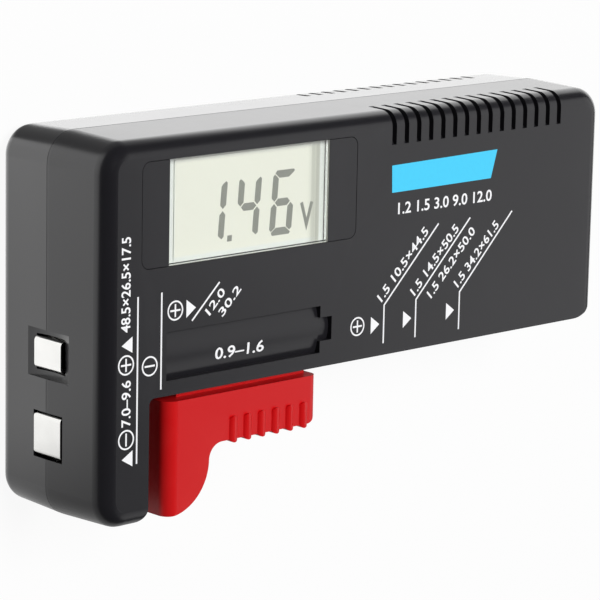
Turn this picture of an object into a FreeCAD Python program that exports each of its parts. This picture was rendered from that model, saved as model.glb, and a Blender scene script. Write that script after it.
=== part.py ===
"""Battery tester: an L-shaped two-shell meter with a display, and a sprung slider that grips the cell.

It lies on its flat back. X runs along the body, Y points to its grooved top edge and Z out of its face.
The origin is the centre of the back. Sizes are in millimetres and live in the sheet "sizes".
"""
import FreeCAD, Part
import math
import os
import re
import Sketcher

Vector = FreeCAD.Vector

SIZES = [
    # Housing
    ("body_width", 110.0), ("body_height", 60.0), ("body_depth", 25.5), ("seam_shift", 0.15),
    ("corner_radius", 5.0), ("edge_round", 2.6), ("draft_angle", 2.0), ("wall", 2.0), ("face_wall", 2.2),
    ("front_seam_round", 0.15), ("rear_seam_round", 0.35),
    # Cell bay, cut out under the head and beside the leg
    ("leg_width", 9.4), ("head_height", 40.0), ("leg_corner", 3.0), ("head_corner", 5.5),
    ("bay_corner", 1.0), ("floor_wall", 2.4),
    # Grip grooves across the top edges
    ("groove_count", 15), ("groove_pitch", 2.767), ("groove_width", 1.0), ("groove_depth", 1.05),
    ("groove_start", 60.08), ("groove_foot", 5.75), ("groove_ramp", 7.2), ("groove_turn", 2.0),
    ("groove_draft", 0.3),
    # Display opening and what fills it
    ("display_left", 7.6), ("display_width", 44.4), ("display_top", 3.6), ("display_height", 16.4),
    ("display_corner", 1.5), ("bezel_fit", 0.2), ("cheek_width", 5.4), ("cheek_right_width", 6.1),
    ("bezel_flange", 1.3), ("bezel_flange_thick", 1.2), ("window_recess", 0.4), ("window_thick", 0.9),
    ("window_fit", 0.1), ("film_thick", 0.2), ("glass_thick", 2.2), ("glass_rebate", 0.5),
    ("film_left_margin", 1.7), ("film_right_margin", 3.0), ("film_end_margin", 0.4),
    ("ledge_depth", 2.3), ("zebra_width", 1.7), ("holder_rim", 1.6), ("holder_rail", 1.4),
    # Cell-shaped relief in the face
    ("relief_left", 12.7), ("relief_length", 31.9), ("relief_rise", 2.3), ("relief_height", 7.6),
    ("relief_depth", 1.15), ("relief_crown", 0.7), ("nub_length", 2.5), ("nub_height", 3.8),
    ("nub_crown", 0.35),
    # Nine-volt windows in the left end
    ("snap_pitch", 12.7), ("snap_middle", 19.45), ("window_depth", 7.0), ("upper_window_height", 5.6),
    ("lower_window_height", 7.35), ("dish_radius", 12.5), ("dish_depth", 1.2), ("dish_height", 7.6),
    # Sprung strips
    ("strip_thick", 0.4), ("strip_gap", 0.3), ("strip_flange", 1.6), ("strip_bend", 0.4),
    ("strip_width", 6.4), ("strip_shift", 0.2), ("strip_tail", 6.4),
    ("upper_pad_recess", 0.15), ("lower_pad_recess", 0.1), ("strip_fit", 0.05),
    # Case screws and their bosses
    ("boss_radius", 3.4), ("boss_inset", 5.3), ("leg_boss_inset", 5.1), ("boss_low_inset", 26.5),
    ("screw_radius", 1.0), ("thread_fit", 0.05), ("shank_fit", 0.25), ("screw_head_radius", 1.8),
    ("screw_head_height", 1.2),
    ("head_fit", 0.3), ("counterbore_depth", 2.4), ("screw_bite", 6.0), ("tip_gap", 1.0),
    # Slider and its travel
    ("travel", 62.0), ("slider_gap", 3.7), ("slider_length", 31.25), ("slider_depth", 25.1),
    ("slider_top_gap", 1.15), ("arm_height", 7.75), ("arm_end_round", 2.3), ("slider_leg_width", 8.5),
    ("slider_lift", 0.7), ("slider_nose_round", 2.0), ("leg_curve", 8.0), ("arm_edge_round", 1.6),
    ("arm_hollow_round", 2.6),
    ("ridge_left", 16.7), ("ridge_length", 26.7), ("ridge_setback", 2.3),
    ("running_gap", 0.3), ("channel_depth", 0.8),
    ("channel_lip", 2.0), ("neck_width", 8.4), ("flange_width", 14.0),
    ("flange_thick", 1.6), ("bead_count", 6), ("bead_pitch", 2.96), ("bead_start", 26.5),
    ("bead_radius", 1.0), ("bead_height", 0.45), ("bead_reach", 2.75), ("bead_turn", 1.2),
    # Contacts of the cell bay
    ("plate_width", 8.0), ("plate_margin", 2.5), ("plate_inset", 3.0), ("plate_proud", 0.1),
    ("plate_fit", 0.1), ("tail_width", 4.0), ("tab_length", 3.0), ("hook_hole", 0.8),
    ("strip_screw_radius", 0.8), ("strip_screw_head", 1.6), ("strip_screw_length", 4.0),
    # Return spring and its anchor
    ("spring_radius", 1.6), ("spring_wire", 0.22), ("spring_rise", 4.6), ("hook_length", 2.4),
    ("hook_tip", 1.0), ("hook_margin", 1.2), ("anchor_left", 12.0), ("anchor_width", 12.0),
    ("anchor_foot", 4.2),
    ("anchor_rib", 0.6), ("anchor_mouth", 4.6),
    # Circuit board and what it carries
    ("board_left", 9.0), ("board_width", 44.0), ("board_rise", 12.5), ("board_margin", 0.9),
    ("board_thick", 1.6), ("board_depth", 5.5), ("board_fit", 0.05), ("post_radius", 2.0),
    ("post_inset", 2.6), ("board_screw_radius", 0.8), ("board_head_radius", 1.7),
    ("board_head_height", 1.0), ("board_screw_length", 4.4),
    ("blob_radius", 5.0), ("blob_height", 1.4), ("choke_radius", 2.6), ("choke_waist", 1.9),
    ("choke_height", 4.2), ("choke_cheek", 0.8), ("can_radius", 2.0), ("can_height", 5.4),
    ("trimmer_side", 4.4), ("trimmer_height", 2.0), ("rotor_radius", 1.5), ("rotor_height", 0.5),
    ("chip_count", 5), ("chip_length", 2.0), ("chip_width", 1.25), ("chip_height", 0.6),
    ("chip_pitch", 3.4), ("chip_row", 3.2),
    # Insulated leads
    ("lead_radius", 0.55), ("lead_gap", 0.05), ("lead_stand", 2.4),
]

doc = FreeCAD.newDocument("battery_tester")
sheet = doc.addObject("Spreadsheet::Sheet", "sizes")
for row, (alias, size) in enumerate(SIZES, start=1):
    sheet.set(f"A{row}", alias)
    sheet.set(f"B{row}", str(size))
    sheet.setAlias(f"B{row}", alias)
doc.recompute()

ALIASES = {alias for alias, _ in SIZES}
WORD = re.compile(r"[a-z_]+")


def bound(text):
    """Point every size named in an expression at its cell in the sheet."""
    return WORD.sub(lambda word: f"sizes.{word[0]}" if word[0] in ALIASES else word[0], str(text))


def value(text):
    """Work an expression out to a number."""
    return float(sheet.evalExpression(bound(text)))


def place(obj, x=0, y=0, z=0):
    """Bind an object's position."""
    for axis, text in zip("xyz", (x, y, z)):
        obj.setExpression(f"Placement.Base.{axis}", bound(text))


# Lines that many pieces share, as expressions
LEFT, RIGHT = "(-body_width / 2)", "(body_width / 2)"
TOP, BOTTOM = "(body_height / 2)", "(-body_height / 2)"
FRONT, SEAM = "body_depth", "(body_depth / 2 - seam_shift)"
UNDER = f"({TOP} - head_height)"
LEG = f"({LEFT} + leg_width)"
FLOOR = f"({UNDER} + floor_wall)"
FACE_INSIDE = f"({FRONT} - face_wall)"
STRIP_BACK = f"({LEFT} + wall + strip_fit)"
UPPER_SNAP = f"({BOTTOM} + snap_middle + snap_pitch / 2)"
LOWER_SNAP = f"({BOTTOM} + snap_middle - snap_pitch / 2)"
SLIDER_LEFT = f"({LEG} + slider_gap)"
SLIDER_TOP = f"({UNDER} - slider_top_gap)"
SLIDER_BACK = f"({FRONT} - slider_depth)"
SLOT_LEFT = f"({SLIDER_LEFT} - plate_proud - 2 * running_gap)"
RIDGE_LEFT = f"({LEFT} + ridge_left)"
RIDGE_RIGHT = f"({RIDGE_LEFT} + ridge_length)"
RIDGE_TOP = f"({UNDER} + channel_depth - running_gap)"
FLANGE_UNDER = f"({FLOOR} + running_gap)"
FLANGE_TOP = f"({FLANGE_UNDER} + flange_thick)"
HOOK_HEIGHT = f"({FLANGE_TOP} + spring_rise)"
LUG_X = f"({RIDGE_RIGHT} - 5 * strip_thick)"
ANCHOR_X = f"({LEFT} + anchor_left)"
SCREW_X = f"({RIDGE_RIGHT} - ridge_length / 4)"
PLATE_BOTTOM = f"({BOTTOM} + plate_inset)"
PLATE_TOP = f"({UNDER} - plate_margin)"
BOARD_FRONT = f"({FRONT} - board_depth)"
BOARD_BACK = f"({BOARD_FRONT} - board_thick)"
BOARD_LEFT = f"({LEFT} + board_left)"
BOARD_BOTTOM = f"({UNDER} + board_rise)"
BOARD_TOP = f"({TOP} - wall - board_margin)"
OPENING_LEFT = f"({LEFT} + display_left)"
OPENING_RIGHT = f"({OPENING_LEFT} + display_width)"
OPENING_TOP = f"({TOP} - display_top)"
OPENING_BOTTOM = f"({OPENING_TOP} - display_height)"
VIEW_LEFT = f"({OPENING_LEFT} + cheek_width)"
VIEW_RIGHT = f"({OPENING_RIGHT} - cheek_right_width)"
FILM_FRONT = f"({FRONT} - window_recess - window_thick - bezel_fit / 4)"
GLASS_FRONT = f"({FILM_FRONT} - film_thick)"
GLASS_BACK = f"({GLASS_FRONT} - glass_thick)"
FLANGE_BACK = f"({FACE_INSIDE} - bezel_flange_thick)"
CASE_BOSSES = [
    (f"({LEFT} + leg_boss_inset)", f"({BOTTOM} + boss_inset)"),
    (f"({LEFT} + boss_inset)", f"({TOP} - boss_inset)"),
    (f"({RIGHT} - boss_inset)", f"({TOP} - boss_inset)"),
    (f"({RIGHT} - boss_inset)", f"({TOP} - boss_low_inset)"),
]
BOARD_POSTS = [
    (f"({BOARD_LEFT} + post_inset)", f"({BOARD_BOTTOM} + post_inset)"),
    (f"({BOARD_LEFT} + board_width - post_inset)", f"({BOARD_BOTTOM} + post_inset)"),
]


def new_body(name):
    """Start a PartDesign body."""
    body = doc.addObject("PartDesign::Body", name)
    body.Label = name
    return body


def new_sketch(body, plane, height=0):
    """Lay a sketch on one of the body's origin planes, raised along the plane's axis by height."""
    sketch = body.newObject("Sketcher::SketchObject", "sketch")
    origin = next(item for item in body.Origin.OriginFeatures if item.Role == f"{plane}_Plane")
    sketch.AttachmentSupport = (origin, "")
    sketch.MapMode = "FlatFace"
    facing = "-" if plane == "XZ" else ""
    sketch.setExpression("AttachmentOffset.Base.z", bound(f"{facing}({height})"))
    return sketch


def pin_down(sketch, item, end, x, y):
    """Bind one point of a sketch to its coordinates."""
    for kind, text in (("DistanceX", x), ("DistanceY", y)):
        number = sketch.addConstraint(Sketcher.Constraint(kind, item, end, value(text)))
        sketch.setExpression(f"Constraints[{number}]", bound(text))


def bind_radius(sketch, item, text):
    """Bind the radius of an arc or circle."""
    number = sketch.addConstraint(Sketcher.Constraint("Radius", item, value(text)))
    sketch.setExpression(f"Constraints[{number}]", bound(text))


def outline(sketch, corners):
    """Draw a closed profile through corners (x, y) or (x, y, radius of the rounding)."""
    points = [Vector(value(corner[0]), value(corner[1]), 0) for corner in corners]
    radii = [value(corner[2]) if len(corner) > 2 else 0.0 for corner in corners]
    count = len(corners)
    ends = []
    for i, point in enumerate(points):
        back = (points[i - 1] - point).normalize()
        ahead = (points[(i + 1) % count] - point).normalize()
        setback = radii[i] / math.tan(back.getAngle(ahead) / 2)
        ends.append((point + back * setback, point + ahead * setback, back, ahead))
    lines = [
        sketch.addGeometry(Part.LineSegment(ends[i][1], ends[(i + 1) % count][0]), False)
        for i in range(count)
    ]
    for i, corner in enumerate(corners):
        before, after = lines[i - 1], lines[i]
        if not radii[i]:
            sketch.addConstraint(Sketcher.Constraint("Coincident", before, 2, after, 1))
            pin_down(sketch, after, 1, corner[0], corner[1])
            continue
        knee = sketch.addGeometry(Part.Point(points[i]), True)
        pin_down(sketch, knee, 1, corner[0], corner[1])
        sketch.addConstraint(Sketcher.Constraint("PointOnObject", knee, 1, before))
        sketch.addConstraint(Sketcher.Constraint("PointOnObject", knee, 1, after))
        start, stop, back, ahead = ends[i]
        middle = points[i] + (back + ahead).normalize() * (radii[i] / math.sin(back.getAngle(ahead) / 2))
        leftward = back.cross(ahead).z < 0
        first, last = (start, stop) if leftward else (stop, start)
        sweep = [math.atan2((end - middle).y, (end - middle).x) for end in (first, last)]
        circle = Part.Circle(middle, Vector(0, 0, 1), radii[i])
        arc = sketch.addGeometry(Part.ArcOfCircle(circle, *sweep), False)
        arc_start, arc_stop = (1, 2) if leftward else (2, 1)
        sketch.addConstraint(Sketcher.Constraint("Tangent", before, 2, arc, arc_start))
        sketch.addConstraint(Sketcher.Constraint("Tangent", arc, arc_stop, after, 1))
        bind_radius(sketch, arc, corner[2])


def box_outline(sketch, left, bottom, right, top, radius=None):
    """Draw a rectangle, rounded where a radius is given."""
    corners = [(left, bottom), (right, bottom), (right, top), (left, top)]
    outline(sketch, [corner + (radius,) if radius else corner for corner in corners])


def ring(sketch, x, y, radius):
    """Draw a circle."""
    circle = Part.Circle(Vector(value(x), value(y), 0), Vector(0, 0, 1), value(radius))
    item = sketch.addGeometry(circle, False)
    pin_down(sketch, item, 3, x, y)
    bind_radius(sketch, item, radius)


def crown_outline(sketch, middle, half, base, radius):
    """Draw a flat-based crown: a chord on the line y = base under an arc of the given radius."""
    centre = Vector(value(middle), value(f"{base} - sqrt(({radius})^2 - ({half})^2)"), 0)
    lean = math.asin(value(half) / value(radius))
    circle = Part.Circle(centre, Vector(0, 0, 1), value(radius))
    arc = sketch.addGeometry(Part.ArcOfCircle(circle, math.pi / 2 - lean, math.pi / 2 + lean), False)
    right = Vector(value(f"{middle} + {half}"), value(base), 0)
    left = Vector(value(f"{middle} - {half}"), value(base), 0)
    chord = sketch.addGeometry(Part.LineSegment(left, right), False)
    pin_down(sketch, chord, 1, f"{middle} - {half}", base)
    pin_down(sketch, chord, 2, f"{middle} + {half}", base)
    sketch.addConstraint(Sketcher.Constraint("Coincident", chord, 2, arc, 1))
    sketch.addConstraint(Sketcher.Constraint("Coincident", chord, 1, arc, 2))
    bind_radius(sketch, arc, radius)


def extrude(body, kind, sketch, length, reverse=False, both=False, taper=None):
    """Add a Pad or Pocket of a sketch; both spreads the length evenly about the sketch."""
    feature = body.newObject(f"PartDesign::{kind}", kind.lower())
    feature.Profile = sketch
    feature.setExpression("Length", bound(length))
    feature.Reversed = reverse
    if both:
        feature.SideType = "Symmetric"
    if taper:
        feature.setExpression("TaperAngle", bound(taper))
    doc.recompute()
    return feature


def pad(body, sketch, length, **options):
    """Raise material from a sketch."""
    return extrude(body, "Pad", sketch, length, **options)


def pocket(body, sketch, length, **options):
    """Cut a sketch away, and see that it took something."""
    before = body.Tip.Shape.Volume
    feature = extrude(body, "Pocket", sketch, length, **options)
    if feature.Shape.Volume >= before:
        raise RuntimeError(f"a pocket of {body.Label} cuts nothing")
    return feature


def round_edges(body, radius, chosen, kind="Fillet"):
    """Fillet or chamfer the edges of the body's tip that the test chosen picks."""
    base = body.Tip
    names = [f"Edge{i}" for i, edge in enumerate(base.Shape.Edges, start=1) if chosen(edge)]
    feature = body.newObject(f"PartDesign::{kind}", kind.lower())
    feature.Base = (base, names)
    feature.setExpression("Size" if kind == "Chamfer" else "Radius", bound(radius))
    doc.recompute()
    return feature


def at_height(level, slack=1e-4):
    """Pick the edges that lie wholly at one Z level."""
    height = value(level)
    return lambda edge: all(abs(z - height) < slack for z in (edge.BoundBox.ZMin, edge.BoundBox.ZMax))


def repeat(body, feature, axis, pitch, count):
    """Repeat a feature along one of the body's axes."""
    pattern = body.newObject("PartDesign::LinearPattern", "pattern")
    pattern.Originals = [feature]
    pattern.Direction = (next(a for a in body.Origin.OriginFeatures if a.Role == f"{axis}_Axis"), [""])
    pattern.setExpression("Length", bound(f"{pitch} * ({count} - 1)"))
    pattern.setExpression("Occurrences", bound(count))
    body.Tip = pattern
    doc.recompute()
    return pattern


def build_shell(side):
    """Build one half of the housing; side is "front" or "rear"."""
    front = side == "front"
    body = new_body(f"{side}_shell")
    face = FRONT if front else "0"
    reach = f"({FRONT} - {SEAM})" if front else SEAM
    outward, inward = ("+", "-") if front else ("-", "+")

    block = new_sketch(body, "XY", SEAM)
    box_outline(block, LEFT, BOTTOM, RIGHT, TOP, "corner_radius")
    pad(body, block, reach, reverse=not front, taper="-draft_angle")
    round_edges(body, "edge_round", at_height(face))
    round_edges(body, f"{side}_seam_round", at_height(SEAM), kind="Chamfer")

    bay = new_sketch(body, "XY", SEAM)
    beyond = f"({RIGHT} + wall)"
    outline(bay, [
        (f"{LEG} - leg_corner - wall", BOTTOM),
        (LEG, BOTTOM, "leg_corner"),
        (LEG, UNDER, "bay_corner"),
        (RIGHT, UNDER, "head_corner"),
        (RIGHT, f"{UNDER} + head_corner + wall"),
        (beyond, f"{UNDER} + head_corner + wall"),
        (beyond, f"{BOTTOM} - wall"),
        (f"{LEG} - leg_corner - wall", f"{BOTTOM} - wall"),
    ])
    pocket(body, bay, f"{reach} + wall", reverse=front)

    cavity = new_sketch(body, "XY", SEAM)
    inner = "corner_radius - wall"
    outline(cavity, [
        (f"{LEFT} + wall", f"{BOTTOM} + wall", "bay_corner"),
        (f"{LEG} - wall", f"{BOTTOM} + wall", "bay_corner"),
        (f"{LEG} - wall", FLOOR, "bay_corner"),
        (f"{RIGHT} - wall", FLOOR, "head_corner - wall"),
        (f"{RIGHT} - wall", f"{TOP} - wall", inner),
        (f"{LEFT} + wall", f"{TOP} - wall", inner),
    ])
    pocket(body, cavity, f"{reach} - face_wall", reverse=front)

    bosses = new_sketch(body, "XY", SEAM)
    for x, y in CASE_BOSSES:
        ring(bosses, x, y, "boss_radius")
    pad(body, bosses, f"{reach} - face_wall / 2", reverse=not front)

    holes = new_sketch(body, "XY", SEAM)
    for x, y in CASE_BOSSES:
        ring(holes, x, y, "screw_radius + thread_fit" if front else "screw_radius + shank_fit")
    pocket(body, holes, "screw_bite + tip_gap" if front else reach, reverse=front)
    if not front:
        counterbores = new_sketch(body, "XY", 0)
        for x, y in CASE_BOSSES:
            ring(counterbores, x, y, "screw_head_radius + head_fit")
        pocket(body, counterbores, "counterbore_depth", reverse=True)

    for middle, tall in ((UPPER_SNAP, "upper_window_height"), (LOWER_SNAP, "lower_window_height")):
        window = new_sketch(body, "YZ", f"{LEFT} - wall")
        box_outline(window, f"{middle} - {tall} / 2", f"{SEAM} - window_depth / 2",
                    f"{middle} + {tall} / 2", f"{SEAM} + window_depth / 2")
        pocket(body, window, "3 * wall", reverse=True)
    dish = new_sketch(body, "XZ", UPPER_SNAP)
    ring(dish, f"{LEFT} + dish_depth - dish_radius", SEAM, "dish_radius")
    pocket(body, dish, "dish_height", both=True)

    channel = new_sketch(body, "XZ", f"{UNDER} - wall")
    box_outline(channel, SLOT_LEFT, "channel_lip",
                f"{RIDGE_RIGHT} + travel + 2 * running_gap", f"{FRONT} - channel_lip")
    pocket(body, channel, "wall + channel_depth")
    slot = new_sketch(body, "XZ", f"{UNDER} - wall")
    box_outline(slot, SLOT_LEFT,
                f"{SEAM} - neck_width / 2 - running_gap",
                f"{RIDGE_RIGHT} + travel + running_gap", f"{SEAM} + neck_width / 2 + running_gap")
    pocket(body, slot, "2 * wall + floor_wall")

    seat = new_sketch(body, "YZ", f"{LEG} + wall")
    box_outline(seat, f"{PLATE_BOTTOM} - plate_fit", f"{SEAM} - plate_width / 2 - plate_fit",
                f"{PLATE_TOP} + plate_fit", f"{SEAM} + plate_width / 2 + plate_fit")
    pocket(body, seat, "wall + strip_thick - plate_proud + plate_fit / 2")
    tail = new_sketch(body, "YZ", f"{LEG} + wall")
    box_outline(tail, f"{PLATE_TOP} - strip_thick - strip_bend - plate_fit",
                f"{SEAM} - tail_width / 2 - plate_fit",
                f"{PLATE_TOP} + plate_fit", f"{SEAM} + tail_width / 2 + plate_fit")
    pocket(body, tail, "3 * wall")

    rib = new_sketch(body, "XY", SEAM)
    box_outline(rib, f"{ANCHOR_X} + strip_fit", f"{FLOOR} - floor_wall / 4",
                f"{ANCHOR_X} + strip_fit + anchor_rib", f"{HOOK_HEIGHT} + hook_margin")
    pad(body, rib, f"{reach} - face_wall / 2", reverse=not front)
    mouth = new_sketch(body, "XY", SEAM)
    box_outline(mouth, f"{ANCHOR_X} - anchor_rib", f"{FLOOR}",
                f"{ANCHOR_X} + 2 * anchor_rib", f"{HOOK_HEIGHT} + 2 * hook_margin")
    pocket(body, mouth, "anchor_mouth / 2", reverse=front)

    groove = new_sketch(body, "YZ", f"{LEFT} + groove_start")
    bed = f"({face} {inward} groove_depth)"
    wide = f"({TOP} - groove_draft - groove_depth)"
    clear = f"({face} {outward} wall)"
    outline(groove, [
        (f"{TOP} + wall", f"{SEAM} {outward} groove_ramp"),
        (f"{TOP} - groove_draft", f"{SEAM} {outward} groove_ramp"),
        (wide, f"{SEAM} {outward} (groove_ramp + groove_turn)"),
        (wide, f"{bed} {inward} groove_turn * 0.6"),
        (f"{wide} - groove_turn * 0.6", bed),
        (f"{TOP} - groove_foot + groove_depth / 2", bed),
        (f"{TOP} - groove_foot", f"{bed} {outward} groove_depth / 2"),
        (f"{TOP} - groove_foot", clear),
        (f"{TOP} + wall", clear),
    ])
    cut = pocket(body, groove, "groove_width", both=True)
    repeat(body, cut, "X", "groove_pitch", "groove_count")
    return body


def crown(body, middle, half, level, rise, left, length):
    """Raise a crowned barrel from a recess: a chord of 2 * half that bulges by rise, run along X."""
    radius = f"(({half})^2 + ({rise})^2) / (2 * ({rise}))"
    profile = new_sketch(body, "YZ", left)
    crown_outline(profile, middle, half, level, radius)
    return pad(body, profile, length)


def build_front_shell():
    """The face half: display opening, cell-shaped relief and the posts of the board."""
    body = build_shell("front")
    opening = new_sketch(body, "XY", f"{FRONT} + wall")
    box_outline(opening, OPENING_LEFT, OPENING_BOTTOM, OPENING_RIGHT, OPENING_TOP, "display_corner")
    pocket(body, opening, "2 * wall + face_wall")
    seat = new_sketch(body, "XY", FACE_INSIDE)
    past = "(bezel_flange + bezel_fit)"
    box_outline(seat, OPENING_LEFT, f"{OPENING_BOTTOM} - {past}", f"{OPENING_RIGHT} + {past}",
                f"{OPENING_TOP} + {past}", "display_corner")
    pocket(body, seat, "wall + bezel_fit")

    barrel_left = f"({LEFT} + relief_left)"
    barrel_right = f"({barrel_left} + relief_length)"
    middle = f"({UNDER} + relief_rise + relief_height / 2)"
    bed = f"({FRONT} - relief_depth)"
    relief = new_sketch(body, "XY", f"{FRONT} + wall")
    half, nub = "relief_height / 2", "nub_height / 2"
    outline(relief, [
        (barrel_left, f"{middle} - {half}"),
        (barrel_right, f"{middle} - {half}"),
        (barrel_right, f"{middle} - {nub}"),
        (f"{barrel_right} + nub_length", f"{middle} - {nub}"),
        (f"{barrel_right} + nub_length", f"{middle} + {nub}"),
        (barrel_right, f"{middle} + {nub}"),
        (barrel_right, f"{middle} + {half}"),
        (barrel_left, f"{middle} + {half}"),
    ])
    pocket(body, relief, "wall + relief_depth")
    crown(body, middle, half, bed, "relief_crown", barrel_left, "relief_length")
    crown(body, middle, nub, bed, "nub_crown", barrel_right, "nub_length")

    posts = new_sketch(body, "XY", f"{FACE_INSIDE} + face_wall / 2")
    for x, y in BOARD_POSTS:
        ring(posts, x, y, "post_radius")
    pad(body, posts, f"{FACE_INSIDE} + face_wall / 2 - {BOARD_FRONT} - board_fit", reverse=True)
    pilots = new_sketch(body, "XY", BOARD_FRONT)
    for x, y in BOARD_POSTS:
        ring(pilots, x, y, "board_screw_radius + thread_fit")
    pocket(body, pilots, "board_screw_length - board_thick + thread_fit", reverse=True)
    return body


def box(name, x, y, z, right, top, front):
    """A block between two corners."""
    item = doc.addObject("Part::Box", name)
    item.Label = name
    place(item, x, y, z)
    for prop, low, high in (("Length", x, right), ("Width", y, top), ("Height", z, front)):
        item.setExpression(prop, bound(f"({high}) - ({low})"))
    return item


TURNS = {"X": (Vector(0, 1, 0), 90), "Y": (Vector(1, 0, 0), -90), "Z": (Vector(0, 0, 1), 0)}


def rod(name, x, y, z, radius, length, axis="Z"):
    """A cylinder that runs from a point along an axis."""
    item = doc.addObject("Part::Cylinder", name)
    item.Label = name
    item.Placement = FreeCAD.Placement(Vector(), FreeCAD.Rotation(*TURNS[axis]))
    place(item, x, y, z)
    item.setExpression("Radius", bound(radius))
    item.setExpression("Height", bound(length))
    return item


def join(name, items):
    """Fuse primitives."""
    item = doc.addObject("Part::MultiFuse", name)
    item.Label = name
    item.Shapes = items
    return item


def gather(name, items):
    """Keep repeats that don't touch as one compound."""
    item = doc.addObject("Part::Compound", name)
    item.Label = name
    item.Links = items
    return item


def cut_away(name, base, tool):
    """Cut one primitive from another."""
    item = doc.addObject("Part::Cut", name)
    item.Label = name
    item.Base = base
    item.Tool = tool
    return item


def build_display():
    """Bezel, window, films, glass, connector and holder, front to back."""
    bezel = new_body("display_bezel")
    cheeks = new_sketch(bezel, "XY", f"{FRONT} - bezel_fit / 10")
    low, high = f"{OPENING_BOTTOM} + bezel_fit / 2", f"{OPENING_TOP} - bezel_fit / 2"
    box_outline(cheeks, f"{OPENING_LEFT} + bezel_fit / 2", low,
                f"{OPENING_RIGHT} - bezel_fit / 2", high, "display_corner - bezel_fit / 2")
    pad(bezel, cheeks, f"{FRONT} - {FLANGE_BACK} - bezel_fit / 10", reverse=True)
    flange = new_sketch(bezel, "XY", f"{FACE_INSIDE} - board_fit")
    box_outline(flange, f"{OPENING_LEFT} + bezel_fit / 2", f"{OPENING_BOTTOM} - bezel_flange",
                f"{OPENING_RIGHT} + bezel_flange", f"{OPENING_TOP} + bezel_flange", "display_corner")
    pad(bezel, flange, f"{FACE_INSIDE} - board_fit - {FLANGE_BACK}", reverse=True)
    view = new_sketch(bezel, "XY", f"{FRONT} + wall")
    box_outline(view, VIEW_LEFT, f"{OPENING_BOTTOM} - wall / 20", VIEW_RIGHT, f"{OPENING_TOP} + wall / 20")
    pocket(bezel, view, f"{FRONT} + wall - {FLANGE_BACK} + wall")
    seat = new_sketch(bezel, "XY", f"{GLASS_FRONT} + board_fit")
    box_outline(seat, f"{VIEW_LEFT} - glass_rebate - window_fit", f"{OPENING_BOTTOM} - wall / 20",
                f"{VIEW_RIGHT} + glass_rebate + window_fit", f"{OPENING_TOP} + wall / 20")
    pocket(bezel, seat, f"{GLASS_FRONT} - {FLANGE_BACK} + wall")

    low, high = f"{OPENING_BOTTOM} + window_fit", f"{OPENING_TOP} - window_fit"
    left, right = f"{VIEW_LEFT} + window_fit / 2", f"{VIEW_RIGHT} - window_fit / 2"
    window_front = f"{FRONT} - window_recess"
    box("display_window", left, low, f"{window_front} - window_thick", right, high, window_front)
    film = (f"{VIEW_LEFT} + film_left_margin", f"{low} + film_end_margin",
            f"{VIEW_RIGHT} - film_right_margin", f"{high} - film_end_margin")
    box("lcd_polarizer", film[0], film[1], GLASS_FRONT, film[2], film[3], FILM_FRONT)

    low, high = f"({low} + window_fit)", f"({high} - window_fit)"
    left, right = f"({VIEW_LEFT} - glass_rebate)", f"({VIEW_RIGHT} + glass_rebate)"
    upper = box("front_pane", left, low, f"{GLASS_FRONT} - glass_thick / 2", right, high, GLASS_FRONT)
    lower = box("rear_pane", left, f"{low} + ledge_depth", GLASS_BACK, right, high,
                f"{GLASS_FRONT} - glass_thick / 2")
    join("lcd_glass", [upper, lower])
    box("lcd_reflector", film[0], f"{low} + ledge_depth", f"{GLASS_BACK} - film_thick",
        film[2], film[3], GLASS_BACK)
    box("zebra_connector", f"{left} + glass_rebate", f"{low} + (ledge_depth - zebra_width) / 2",
        BOARD_FRONT, f"{right} - glass_rebate", f"{low} + (ledge_depth + zebra_width) / 2",
        f"{GLASS_FRONT} - glass_thick / 2")

    holder = new_body("lcd_holder")
    front, back = f"({FLANGE_BACK} - board_fit)", f"({BOARD_FRONT} + board_fit)"
    rim = new_sketch(holder, "XY", back)
    box_outline(rim, f"{left} - holder_rim", f"{low} - holder_rim",
                f"{right} + holder_rim", f"{high} + holder_rim / 2")
    pad(holder, rim, f"{front} - {back}")
    well = new_sketch(holder, "XY", front)
    box_outline(well, f"{left} - window_fit", f"{low} - window_fit",
                f"{right} + window_fit", f"{high} + window_fit")
    pocket(holder, well, f"{front} - {GLASS_BACK} + film_thick + board_fit")
    hollow = new_sketch(holder, "XY", f"{front} + wall")
    box_outline(hollow, f"{left} + holder_rail", f"{low} + ledge_depth + holder_rail",
                f"{right} - holder_rail", f"{high} - holder_rail")
    pocket(holder, hollow, f"{front} - {back} + 2 * wall")
    gap = new_sketch(holder, "XY", f"{front} + wall")
    box_outline(gap, f"{left} + glass_rebate - window_fit",
                f"{low} + (ledge_depth - zebra_width) / 2 - window_fit",
                f"{right} - glass_rebate + window_fit",
                f"{low} + (ledge_depth + zebra_width) / 2 + window_fit")
    pocket(holder, gap, f"{front} - {back} + 2 * wall")


def strip_outline(sketch, path):
    """Draw a bent strip: the path is one surface, and strip_thick is laid on its left."""
    points = [Vector(value(x), value(y), 0) for x, y in path]
    steps = [(b - a).normalize() for a, b in zip(points, points[1:])]
    near, far = [], []
    for i, (x, y) in enumerate(path):
        sides = steps[max(i - 1, 0):i + 1] or [steps[-1]]
        across = round(sum(-step.y for step in sides))
        along = round(sum(step.x for step in sides))
        if len(sides) == 1 or sides[0].cross(sides[1]).z == 0:
            across, along = round(-sides[0].y), round(sides[0].x)
            bends = ()
        else:
            leftward = sides[0].cross(sides[1]).z > 0
            bends = ("strip_bend + strip_thick", "strip_bend")[::1 if leftward else -1]
        near.append((x, y) + bends[:1])
        far.append((f"{x} + {across} * strip_thick", f"{y} + {along} * strip_thick") + bends[1:])
    outline(sketch, near + far[::-1])


def build_strip(name, path, width, middle=SEAM):
    """A bent sheet strip, spread evenly about one level of Z."""
    body = new_body(name)
    profile = new_sketch(body, "XY", middle)
    strip_outline(profile, path)
    pad(body, profile, width, both=True)
    return body


def punch(body, plane, x, y, at, radius, depth):
    """Punch a round hole through a strip."""
    hole = new_sketch(body, plane, at)
    ring(hole, x, y, radius)
    pocket(body, hole, depth, both=True)


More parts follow.
